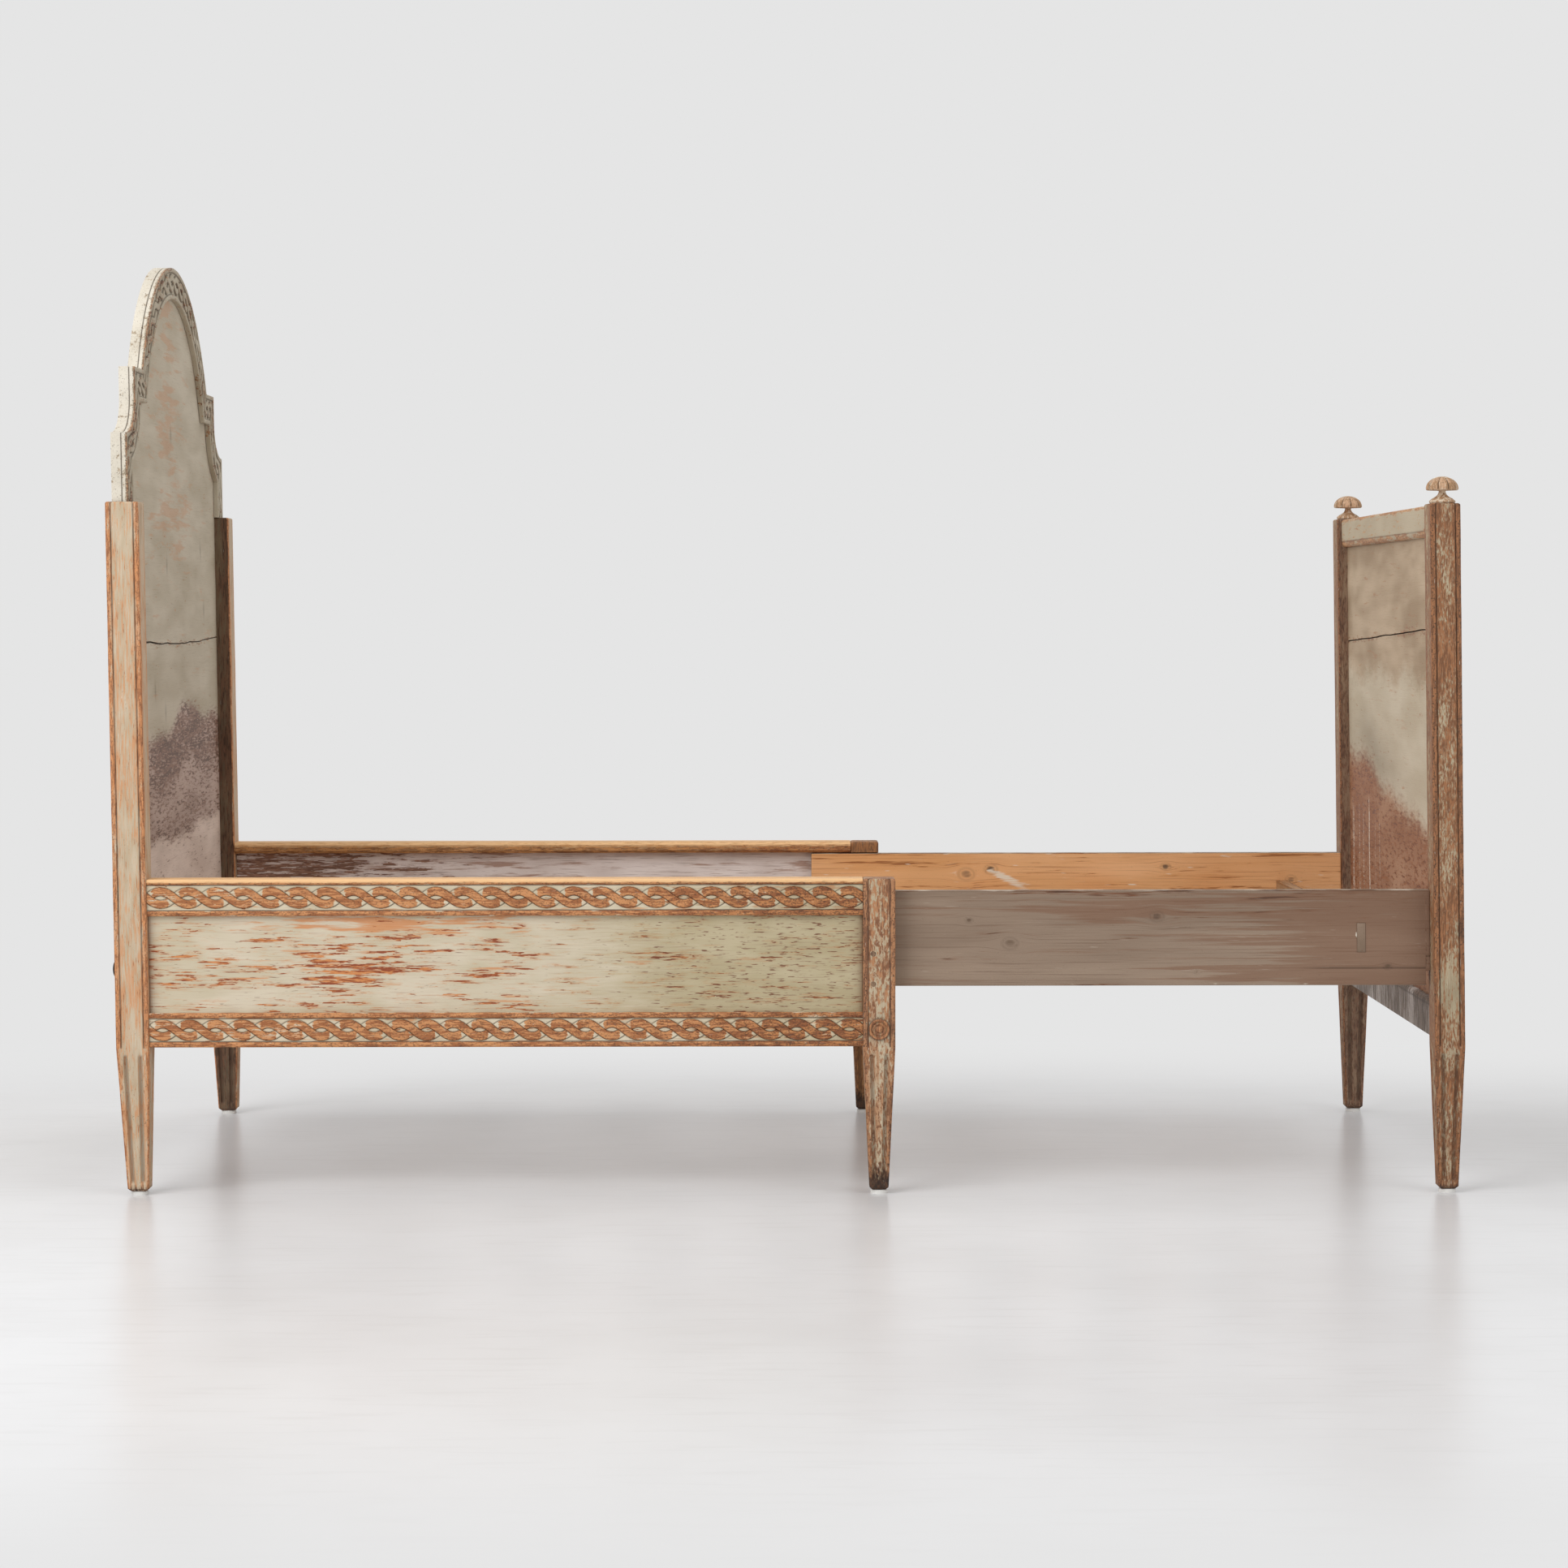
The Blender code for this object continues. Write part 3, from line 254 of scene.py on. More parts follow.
def waver(along: Array, length: float, seed: float) -> Array:
    """Wanders slowly between about -1 and 1: four sines whose wavelengths are shares of a length.

    Args:
        along: the distance that the wander follows.
        length: its longest wavelength.
        seed: a number that shifts the sines against each other.

    Returns:
        The wander at each distance.
    """
    shares = np.array([1.0, 0.618, 0.371, 0.213])
    weights = np.array([0.4, 0.3, 0.2, 0.1])
    phases = seed * np.array([1.7, 2.9, 4.3, 5.9])
    angles = 2.0 * math.pi * np.asarray(along)[..., None] / (length * shares) + phases
    return np.sin(angles) @ weights


def dents(along: Array, length: float, seed: float) -> Array:
    """Keeps the upper side of a wander, from 0 to 1, so that marks come and go along a piece.

    Args:
        along: the distance that the marks follow.
        length: the wander's longest wavelength.
        seed: a number that shifts them.

    Returns:
        The marks' strength at each distance.
    """
    return np.clip(waver(along, length, seed), 0.0, 1.0)


def surface(x: Array | float, y: Array | float, z: Array | float) -> Array:
    """Joins three coordinates, spread over one grid, into points."""
    return np.stack(np.broadcast_arrays(x, y, z), axis=-1).astype(float)


def close_pairs(places: tuple[float, ...]) -> list[float]:
    """Gives each place a close pair of points, so that a step there is crisp."""
    return [place + nudge for place in places for nudge in (-HAIR, HAIR)]


def within_edges(x: Array, z: Array, edges: tuple[Pair, Pair]) -> Array:
    """Tells which points lie inside a rectangle.

    Args:
        x: the points' places along the bed.
        z: the points' heights.
        edges: the rectangle's edges in x and in z.

    Returns:
        Whether each point lies inside.
    """
    (back, front), (low, high) = edges
    return (x > back) & (x < front) & (z > low) & (z < high)


def dense(points: Array, spacing: float, closed: bool = False) -> Array:
    """Adds points along straight runs so that neighbours lie no further apart than a spacing.

    Args:
        points: the corners, one per row; columns past the second are carried along.
        spacing: the widest step between neighbours, measured on the first two columns.
        closed: whether the last corner joins the first.

    Returns:
        The corners with the added points between them.
    """
    points = np.asarray(points, float)
    ends = np.roll(points, -1, axis=0) if closed else points[1:]
    starts = points if closed else points[:-1]
    counts = np.ceil(np.linalg.norm((ends - starts)[:, :2], axis=1) / spacing).astype(int)
    runs = [a + (b - a) * (np.arange(max(n, 1)) / max(n, 1))[:, None]
            for a, b, n in zip(starts, ends, counts)]
    return np.concatenate(runs if closed else runs + [points[-1:]])


@dataclass(frozen=True)
class Mark:
    """A soft oval mark on a face: its middle, and how far it spreads along the face and up it."""

    along: float
    up: float
    reach: float
    rise: float

    def at(self, along: Array, up: Array) -> Array:
        """The mark's strength at each place: the product of two bumps."""
        return bump(along, self.along, self.reach) * bump(up, self.up, self.rise)


@dataclass
class Skin:
    """A surface of rings of points carried along stations, with painted values on the points.

    points has one row per station, one column per ring point, and x, y, z. Each value in paint spreads over
    the same rows and columns.
    """

    points: Array
    paint: dict[str, Array] = field(default_factory=dict)

    def mirrored(self) -> "Skin":
        """The same surface on the other side of the bed."""
        return Skin(self.points * np.array([1.0, -1.0, 1.0]), self.paint)

    def faces(self) -> tuple[Array, Array]:
        """Joins neighbouring rings with quads and closes both ends with one face each.

        Returns:
            The corners of every face in a row, and the number of corners of each face.
        """
        stations, ring, _ = self.points.shape
        index = np.arange(stations * ring).reshape(stations, ring)
        ahead = np.roll(index, -1, axis=1)
        quads = np.stack([index[:-1], ahead[:-1], ahead[1:], index[1:]], axis=-1).reshape(-1, 4)
        first, last = index[0, ::-1], index[-1]
        if self.inside_out(quads, first, last):
            quads, first, last = quads[:, ::-1], first[::-1], last[::-1]
        corners = np.concatenate([quads.ravel(), first, last])
        counts = np.concatenate([np.full(len(quads), 4), [ring, ring]])
        return corners, counts

    def inside_out(self, quads: Array, first: Array, last: Array) -> bool:
        """Sums the signed volumes of cones from the middle to every face; a negative sum is inside out.

        Args:
            quads: the corners of the quads.
            first: the corners of the face that closes the first ring.
            last: the corners of the face that closes the last ring.

        Returns:
            Whether the faces point inwards.
        """
        flat = self.points.reshape(-1, 3) - self.points.reshape(-1, 3).mean(axis=0)
        a, b, c, d = (flat[quads[:, k]] for k in range(4))
        volume = np.einsum("ij,ij->", a, np.cross(b, c)) + np.einsum("ij,ij->", a, np.cross(c, d))
        for cap in (first, last):
            rim = flat[cap]
            middle = np.broadcast_to(rim.mean(axis=0), rim.shape)
            volume += np.einsum("ij,ij->", middle, np.cross(rim, np.roll(rim, -1, axis=0)))
        return bool(volume < 0.0)

    def to_object(self, name: str, sharp_angle: float) -> bpy.types.Object:
        """Makes the mesh object, shaded smooth but for sharp edges, with its painted values.

        Args:
            name: the object's name.
            sharp_angle: edges that turn by more than this, in degrees, stay sharp.

        Returns:
            The new object, linked to the scene.
        """
        corners, counts = self.faces()
        flat = self.points.reshape(-1, 3)
        mesh = bpy.data.meshes.new(name)
        mesh.vertices.add(len(flat))
        mesh.vertices.foreach_set("co", flat.astype(np.float32).ravel())
        mesh.loops.add(len(corners))
        mesh.loops.foreach_set("vertex_index", corners.astype(np.int32))
        mesh.polygons.add(len(counts))
        mesh.polygons.foreach_set("loop_start", (np.cumsum(counts) - counts).astype(np.int32))
        mesh.update(calc_edges=True)
        for key, value in self.paint.items():
            spread = np.broadcast_to(value, self.points.shape[:2]).astype(np.float32)
            mesh.attributes.new(key, "FLOAT", "POINT").data.foreach_set("value", spread.ravel())
        mesh.shade_smooth()
        mesh.set_sharp_from_angle(angle=math.radians(sharp_angle))
        obj = bpy.data.objects.new(name, mesh)
        bpy.context.scene.collection.objects.link(obj)
        return obj


@dataclass(frozen=True)
class RoundedRing:
    """Points round a rectangle with rounded corners, ready to be scaled.

    A point lies at corner * (half size - radius) + bulge * radius: corner is its share of the flat half
    sizes, and bulge the direction of the face or of the rounded corner.
    """

    corner: Array
    bulge: Array

    @classmethod
    def of(cls, first: Array, second: Array, steps: int = 3) -> "RoundedRing":
        """Goes round the four faces and corners by quarter turns.

        Args:
            first: shares from -1 to 1 along the faces that run in the first direction.
            second: the same for the faces that run in the second direction.
            steps: the number of points inside each rounded corner.

        Returns:
            The ring.
        """
        angles = np.linspace(0.0, math.pi / 2, steps + 2)[1:-1]
        arc = np.stack([np.cos(angles), np.sin(angles)], axis=1)
        corner, bulge = [], []
        for turn, run in enumerate((second, first, second, first)):
            cosine, sine = ((1, 0), (0, 1), (-1, 0), (0, -1))[turn]
            spin = np.array([[cosine, sine], [-sine, cosine]], float)
            corner += [np.stack([np.ones_like(run), run], axis=1) @ spin, np.ones((steps, 2)) @ spin]
            bulge += [np.tile([1.0, 0.0], (len(run), 1)) @ spin, arc @ spin]
        return cls(np.concatenate(corner), np.concatenate(bulge))

    def at(self, half: Array, radius: Array | float) -> Array:
        """Scales the ring for every station.

        Args:
            half: the two half sizes at each station.
            radius: the corners' radius at each station.

        Returns:
            Two coordinates for each station and ring point.
        """
        radius = np.broadcast_to(radius, half.shape[:1])
        flat = (half - radius[:, None])[:, None, :]
        return self.corner * flat + self.bulge * radius[:, None, None]

    def facing(self, axis: int, sign: int) -> Array:
        """Tells which ring points lie on one flat face."""
        return self.bulge[:, axis] * sign > FLAT

    def edge_distance(self, half: Array) -> Array:
        """Measures how far each point lies from its face's nearest edge."""
        return ((1.0 - np.abs(self.corner)) * half[:, None, :]).max(axis=-1)


@dataclass
class Bar:
    """A straight piece of timber with eased arrises, carried along one axis.

    Extra places along it and across it get close pairs of points, so that a step cut there is crisp.
    """

    low: Place
    high: Place
    grain: Grain
    arris: float = 0.0015
    step: float = 0.006
    across_step: float = 0.004
    along_marks: tuple[float, ...] = ()
    across_marks: tuple[float, ...] = ()
    wear_reach: float = 0.004
    ring: RoundedRing = field(init=False)

    def __post_init__(self) -> None:
        """Lays the ring out with the across marks on the faces that run upright, or in the last axis."""
        low, high = np.array(self.low), np.array(self.high)
        self.axes = [k for k in range(3) if k != self.grain.value]
        self.middle = (low + high) / 2
        self.half_sizes = (high - low) / 2
        shares = []
        for axis in self.axes:
            count = max(2, round(2 * self.half_sizes[axis] / self.across_step))
            shares.append(np.linspace(-1.0, 1.0, count + 1))
        last = self.axes[1]
        marks = np.array(close_pairs(self.across_marks)) - self.middle[last]
        marks = marks / (self.half_sizes[last] - self.arris)
        self.ring = RoundedRing.of(shares[0], np.unique(np.concatenate([shares[1], marks])))

    def stations(self) -> tuple[Array, Array]:
        """Places the stations: eased ends, an even run, and pairs at the marks.

        Returns:
            The stations' places along the bar, and how far the ring is drawn in at each.
        """
        low, high = self.low[self.grain.value], self.high[self.grain.value]
        count = max(2, round((high - low) / self.step))
        even = np.linspace(low + self.arris, high - self.arris, count)
        body = np.unique(np.concatenate([even, close_pairs(self.along_marks)]))
        ease = self.arris * (1.0 - math.sqrt(0.5))
        places = np.concatenate([[low, low + ease], body, [high - ease, high]])
        drawn = np.concatenate([[self.arris, ease], np.zeros(len(body)), [ease, self.arris]])
        return places, drawn

    def skin(self) -> Skin:
        """Carries the rounded section along the bar.

        Returns:
            The bar's surface, worn along its arrises.
        """
        places, drawn = self.stations()
        first, second = self.axes
        half = np.stack([self.half_sizes[first] - drawn, self.half_sizes[second] - drawn], axis=1)
        flat = self.ring.at(half, self.arris)
        points = np.empty(flat.shape[:2] + (3,))
        points[..., self.grain.value] = places[:, None]
        points[..., first] = self.middle[first] + flat[..., 0]
        points[..., second] = self.middle[second] + flat[..., 1]
        return Skin(points, {"wear": np.exp(-self.ring.edge_distance(half) / self.wear_reach)})


def turned(profile: Array, centre: Place, axis: Place, steps: int, depth: Array | float = 0.0,
           lobes: int = 0) -> Skin:
    """Turns a profile about an axis; the radius falls by a depth in the grooves between lobes.

    Args:
        profile: rows of distance along the axis and radius.
        centre: the point where the distance is 0.
        axis: the direction of the axis.
        steps: the number of points round the axis.
        depth: the grooves' depth at each row.
        lobes: the number of lobes round the axis.

    Returns:
        The turned surface, with painted shade in the grooves and wear on the lobes.
    """
    along = Vector(axis).normalized()
    side = along.orthogonal().normalized()
    other = along.cross(side)
    angles = np.arange(steps) * 2.0 * math.pi / steps
    groove = (1.0 - np.abs(np.sin(lobes * angles / 2.0))) ** 3
    depth = np.broadcast_to(depth, len(profile))[:, None]
    radius = profile[:, 1:2] - depth * groove
    spokes = np.cos(angles)[:, None] * np.array(side) + np.sin(angles)[:, None] * np.array(other)
    points = np.array(centre) + profile[:, 0, None, None] * np.array(along) + radius[..., None] * spokes
    share = depth / max(depth.max(), HAIR)
    # Painted shade in the grooves between the lobes
    return Skin(points, {"line": groove ** 2 * share, "wear": (1.0 - groove) * share})


@dataclass(frozen=True)
class Guilloche:
    """A carved twist of two strands; the one that falls from left to right always passes over.

    dip is how far the lower strand sinks at a crossing, over dip_reach crossings. fade and emerge are
    distances from a crossing, in crossings, over which the outer rims' lines fade and the lower strand
    comes up.
    """

    sway: float = 0.0093
    half_width: float = 0.0062
    relief: float = 0.0019
    edge: float = 0.0011
    dip: float = 0.45
    dip_reach: float = 0.3
    cut: float = 0.0008
    line: float = 0.0005
    faint: float = 0.65
    rim: float = 0.003
    fade: Pair = (0.18, 0.42)
    emerge: Pair = (0.13, 0.26)

    def carve(self, along: Array, across: Array, pitch: float) -> dict[str, Array]:
        """Raises two ribbons along +sway * sin(pi * along) and its mirror image, one passing over the other.

        A ribbon's height falls off at its half width; the lower ribbon dips where the strands cross, and a
        V is cut along each visible edge, with painted shade in it: dark round the eyes and at the crossings
        and faint along the rims.

        Args:
            along: distance along the band, counted in crossings.
            across: distance from the band's middle line.
            pitch: the length from crossing to crossing.

        Returns:
            The height above the ground, the share of a ribbon's crown, and how dark the painted shade in the
            cut line is.
        """
        wave = self.sway * np.sin(math.pi * along)
        slope = self.sway * math.pi / pitch * np.cos(math.pi * along)
        steep = 1.0 / np.sqrt(1.0 + slope ** 2)
        rising = np.abs(across - wave) * steep
        falling = np.abs(across + wave) * steep
        crossing = np.rint(along)
        first_over = np.mod(crossing, 2) == 1
        over = np.where(first_over, rising, falling)
        under = np.where(first_over, falling, rising)
        flat = self.half_width - self.edge
        dip = self.dip * bump(along, crossing, self.dip_reach)
        top = 1.0 - smooth_step(flat, self.half_width, over)
        low = (1.0 - smooth_step(flat, self.half_width, under)) * (1.0 - dip)
        hidden = over < self.half_width
        over_line = bump(over, self.half_width, self.line)
        under_line = np.where(hidden, 0.0, bump(under, self.half_width, self.line))
        line = np.maximum(over_line, under_line)
        height = self.relief * np.maximum(top, np.where(hidden, 0.0, low)) - self.cut * line
        rim = smooth_step(0.0, self.rim, np.abs(across) - np.abs(wave))
        away = np.abs(along - crossing)
        # Painted shade in the cut: full round the eyes and crossings, faint along the outer rims
        dark = line * (1.0 - self.faint * rim * smooth_step(*self.fade, away))
        crown = np.where(hidden, 1.0, (under < self.half_width) * smooth_step(*self.emerge, away))
        return {"height": height, "ribbon": crown, "line": dark}


# Finishes

def linear(code: str) -> tuple[float, float, float, float]:
    """Turns an sRGB hex code into linear light.

    Args:
        code: six hex digits.

    Returns:
        Red, green, blue and full opacity.
    """
    parts = [int(code[k:k + 2], 16) / 255.0 for k in (0, 2, 4)]
    light = [p / 12.92 if p <= 0.04045 else ((p + 0.055) / 1.055) ** 2.4 for p in parts]
    return (*light, 1.0)


class Graph:
    """The tree of nodes of a material or a world."""

    def __init__(self, owner: bpy.types.Material | bpy.types.World) -> None:
        """Starts an empty tree.

        Args:
            owner: the material or world whose tree it is.
        """
        owner.use_nodes = True
        self.owner = owner
        self.tree = owner.node_tree
        self.tree.nodes.clear()

    def add(self, kind: str, inputs: dict, out: int = 0, **settings: object) -> Socket:
        """Adds a node with its settings and links.

        Args:
            kind: the shader node's type, without the words that all types start with.
            inputs: sockets to link or values to set, by the input's name or number.
            out: the number of the output wanted.
            **settings: the node's own properties.

        Returns:
            The output socket, or None where the node has none.
        """
        node = self.tree.nodes.new("ShaderNode" + kind)
        for key, value in settings.items():
            setattr(node, key, value)
        for key, value in inputs.items():
            if isinstance(value, Socket):
                self.tree.links.new(value, node.inputs[key])
            else:
                node.inputs[key].default_value = value
        return node.outputs[out] if node.outputs else None


class Finish:
    """A finish whose material is built once and shared by the pieces that have it."""

    name: str

    def shader(self, graph: Graph) -> Socket:
        """Adds the finish's own nodes; each kind of finish has its own method."""
        raise NotImplementedError

    def layered(self, graph: Graph, colour: tuple | Socket, layers: tuple) -> Socket:
        """Lays tones over a colour, one after the other.

        Args:
            graph: the material's tree.
            colour: the colour to start from.
            layers: for each tone its pattern, the values where it starts and where it is full, its strength
                there, and the tone.

        Returns:
            The colour with all the layers.
        """
        for pattern, low, high, strength, tone in layers:
            share = graph.add("MapRange", {0: pattern, 1: low, 2: high, 3: 0.0, 4: strength})
            colour = graph.add("Mix", {0: share, 6: colour, 7: tone}, out=2, data_type="RGBA")
        return colour

    def material(self) -> bpy.types.Material:
        """Builds the material once and hands it out again after that.

        Returns:
            The material.
        """
        if self.name in bpy.data.materials:
            return bpy.data.materials[self.name]
        graph = Graph(bpy.data.materials.new(self.name))
        graph.add("OutputMaterial", {"Surface": self.shader(graph)})
        return graph.owner


@dataclass(frozen=True)
class Coat:
    """One coat of old paint on timber: a light and a dark tone of each, and how the paint has held.

    hold is the value of the wear pattern (about 0.5, give or take 0.15) above which the timber is bare. The
    other fields are the strengths of the grain that shows through, of dark flecks and of pale flecks.
    """

    paint: Tones
    timber: Tones
    hold: float
    grain: float = 0.30
    fleck: float = 0.35
    chalk: float = 0.15


@dataclass(frozen=True)
class PaintedTimber(Finish):
    """Hand-planed pine under thin old paint that has flaked along the grain.

    To the eye it is matt: soft chalky paint with streaks of grain, crisp-edged flakes that open on warm
    timber, dark lines that are mostly painted shade in the cuts, creases and cracks, with some real dirt,
    and pale arrises that are partly rubbed and partly painted highlight.
    """

    name: str
    grain: Grain
    coat: Coat
    inside: Coat | None = None
    stained: Coat | None = None
    grime_and_shade: str = "3B2A1F"
    chalk: str = "EFE6D6"
    # Tone of the pale mark: real chips, smears and drips, and painted highlight on cap tops and arrises
    rubbed: str = "E0B588"
    flake_mm: Pair = (45.0, 6.0)
    patch_mm: Pair = (220.0, 90.0)
    patch_pull: float = 0.6
    rub_mm: Pair = (90.0, 8.0)
    grain_mm: Pair = (60.0, 1.4)
    speck_mm: Pair = (3.0, 2.2)
    blocky: float = 0.55
    crisp: float = 0.012
    soft_edge: float = 0.15
    wear_pull: float = 0.26
    fine_pull: float = 0.3
    rub_pull: float = 0.34
    rub_start: float = 0.12
    rub_strength: float = 0.8
    speck_pull: float = 0.12
    fleck_pull: float = 0.04
    line_strength: float = 0.85
    relief_mm: float = 0.35
    roughness: Pair = (0.78, 0.62)

    def streaks(self, graph: Graph, place: Socket, size_mm: Pair, detail: float,
                blocky: float = 0.0) -> Socket:
        """Draws a cloudy pattern whose features are a length along the grain by a width across it.

        A blocky pattern is read near the middles of square-edged cells, a third of a feature in size, so that
        its edges break in short straight steps.

        Args:
            graph: the material's tree.
            place: the coordinates.
            size_mm: the features' length and width.
            detail: the number of finer layers.
            blocky: how far each place is drawn to the middle of its cell, from 0 to 1.

        Returns:
            The pattern, about 0.5 on average.
        """
        scale = [1000.0 / size_mm[1]] * 3
        scale[self.grain.value] = 1000.0 / size_mm[0]
        spread = graph.add("VectorMath", {0: place, 1: scale}, operation="MULTIPLY")
        if blocky:
            cells = {"Vector": spread, "Scale": 3.0}
            middles = graph.add("TexVoronoi", cells, out=2, distance="CHEBYCHEV")
            spread = graph.add("Mix", {0: blocky, 4: spread, 5: middles}, out=1, data_type="VECTOR")
        cloud = {"Vector": spread, "Scale": 1.0, "Detail": detail, "Roughness": 0.6, "Distortion": 0.2}
        return graph.add("TexNoise", cloud)

    def pulled(self, graph: Graph, pattern: Socket, pulls: tuple, start: float = 0.0) -> Socket:
        """Adds shares of other patterns to a pattern and takes a start value off.

        Args:
            graph: the material's tree.
            pattern: the pattern to change.
            pulls: the other patterns, each with its share.
            start: the value to take off.

        Returns:
            The changed pattern.
        """
        for other, share in pulls:
            pattern = graph.add("Math", {0: other, 1: share, 2: pattern}, operation="MULTIPLY_ADD")
        return graph.add("Math", {0: pattern, 1: start}, operation="SUBTRACT")

    def patterns(self, graph: Graph, marks: dict[str, Socket]) -> dict[str, Socket]:
        """Draws the patterns that all the coats share: flakes, patches, grain, specks, wear and rubbing.

        Args:
            graph: the material's tree.
            marks: the piece's attributes, by name.

        Returns:
            The patterns, by name.
        """
        shift = graph.add("CombineXYZ", {2: marks["flow"]})
        place = graph.add("VectorMath", {0: graph.add("TexCoord", {}, out=3), 1: shift}, operation="ADD")
        length, width = self.grain_mm
        flake = self.streaks(graph, place, self.flake_mm, 5.0, self.blocky)
        patch = self.streaks(graph, place, self.patch_mm, 2.0)
        fine = self.streaks(graph, place, (length / 4, width * 1.6), 2.0)
        soft = self.streaks(graph, place, self.rub_mm, 5.0)
        speck = self.streaks(graph, place, self.speck_mm, 2.0)
        specks = ((marks["wear"], self.speck_pull), (marks["stain"], self.fleck_pull))
        wears = ((marks["wear"], self.wear_pull), (patch, self.patch_pull), (fine, self.fine_pull))
        return {
            "flake": flake, "patch": patch, "fine": fine, "soft": soft,
            "grain": self.streaks(graph, place, self.grain_mm, 3.0),
            "speck": self.pulled(graph, speck, specks),
            "rubbed": self.pulled(graph, soft, ((marks["rub"], self.rub_pull),), self.rub_start),
            "worn": self.pulled(graph, flake, wears, (self.patch_pull + self.fine_pull) / 2),
        }

    def coloured(self, graph: Graph, coat: Coat, parts: dict[str, Socket]) -> tuple[Socket, Socket]:
        """Paints one coat in layers: paint, grain, rubbed paint, bare timber, dark flecks and pale flecks.

        Args:
            graph: the material's tree.
            coat: the tones and the hold of the paint.
            parts: the patterns of the material, by name.

        Returns:
            The coat's colour, and the share of bare timber.
        """
        light_paint, dark_paint, light_timber, dark_timber = map(linear, coat.paint + coat.timber)
        depth = graph.add("Math", {0: parts["soft"], 1: parts["fine"]}, operation="ADD")
        deep = graph.add("MapRange", {0: depth, 1: 0.88, 2: 1.10}, interpolation_type="SMOOTHSTEP")
        timber = graph.add("Mix", {0: deep, 6: light_timber, 7: dark_timber}, out=2, data_type="RGBA")
        edge = {0: parts["worn"], 1: coat.hold - self.crisp, 2: coat.hold + self.crisp}
        bare = graph.add("MapRange", edge, interpolation_type="SMOOTHSTEP")
        colour = self.layered(graph, light_paint, (
            (parts["patch"], 0.36, 0.64, 1.0, dark_paint),
            (parts["grain"], 0.56, 0.68, coat.grain, dark_timber),
            (parts["rubbed"], 0.51, 0.61, self.rub_strength, light_timber),
            (parts["worn"], coat.hold - 0.09, coat.hold, 0.40, light_timber),
            (bare, 0.0, 1.0, 1.0, timber),
            (parts["speck"], 0.66, 0.72, coat.fleck, linear(self.grime_and_shade)),
            (parts["fine"], 0.68, 0.76, coat.chalk, linear(self.chalk)),
        ))
        return colour, bare

    def shader(self, graph: Graph) -> Socket:
        """Joins the coats with ragged edges, then lays pale marks, partly painted highlight, and dark lines,
        mostly painted shade, over them.

        Args:
            graph: the material's tree.

        Returns:
            The finished surface.
        """
        marks = {key: graph.add("Attribute", {}, out=2, attribute_name=key)
                 for key in ("flow", "wear", "rub", "face", "stain", "pale", "line")}
        parts = self.patterns(graph, marks)
        colour, bare = self.coloured(graph, self.coat, parts)
        for key, coat in (("face", self.inside), ("stain", self.stained)):
            if coat is None:
                continue
            ragged = graph.add("Math", {0: parts["flake"], 1: 0.9, 2: marks[key]}, operation="MULTIPLY_ADD")
            edge = {0: ragged, 1: 0.95 - self.soft_edge, 2: 0.95 + self.soft_edge}
            share = graph.add("MapRange", edge, interpolation_type="SMOOTHSTEP")
            other, other_bare = self.coloured(graph, coat, parts)
            colour = graph.add("Mix", {0: share, 6: colour, 7: other}, out=2, data_type="RGBA")
            bare = graph.add("Mix", {0: share, 2: bare, 3: other_bare})
        # The pale mark: real chips, smears and drips, and painted highlight on cap tops and post arrises
        broken = graph.add("Math", {0: parts["fine"], 1: 0.9, 2: marks["pale"]}, operation="MULTIPLY_ADD")
        colour = self.layered(graph, colour, (
            (broken, 0.80, 1.10, 0.85, linear(self.rubbed)),
            # The line mark darkens towards the dark tone: painted shade in cuts, creases, cracks and
            # recesses, plus some real dirt, scars and joint lines
            (marks["line"], 0.0, 1.0, self.line_strength, linear(self.grime_and_shade)),
        ))
        height = graph.add("Math", {0: bare, 1: -0.6, 2: parts["grain"]}, operation="MULTIPLY_ADD")
        relief = {"Strength": 0.6, "Distance": self.relief_mm / 1000.0, "Height": height}
        rough = graph.add("Mix", {0: bare, 2: self.roughness[0], 3: self.roughness[1]})
        return graph.add("BsdfPrincipled", {"Base Color": colour, "Roughness": rough,
                                            "Specular IOR Level": 0.35, "Normal": graph.add("Bump", relief)})


@dataclass(frozen=True)
class ForgedIron(Finish):
    """Black forged iron: dull scale with brown rust freckles, rough enough to glint softly."""

    name: str = "black forged iron"
    scale_tone: str = "262220"
    rust_tone: str = "4A2E1E"
    rust_mm: float = 4.0

    def shader(self, graph: Graph) -> Socket:
        """Freckles the scale with rust, which is rougher.

        Args:
            graph: the material's tree.

        Returns:
            The finished surface.
        """
        place = graph.add("TexCoord", {}, out=3)
        rust = graph.add("TexNoise", {"Vector": place, "Scale": 1000.0 / self.rust_mm, "Detail": 4.0})
        share = graph.add("MapRange", {0: rust, 1: 0.48, 2: 0.62})
        tones = {0: share, 6: linear(self.scale_tone), 7: linear(self.rust_tone)}
        colour = graph.add("Mix", tones, out=2, data_type="RGBA")
        rough = graph.add("MapRange", {0: share, 3: 0.45, 4: 0.85})
        normal = graph.add("Bump", {"Strength": 0.5, "Distance": 0.0004, "Height": rust})
        return graph.add("BsdfPrincipled", {"Base Color": colour, "Roughness": rough, "Metallic": 0.8,
                                            "Normal": normal})


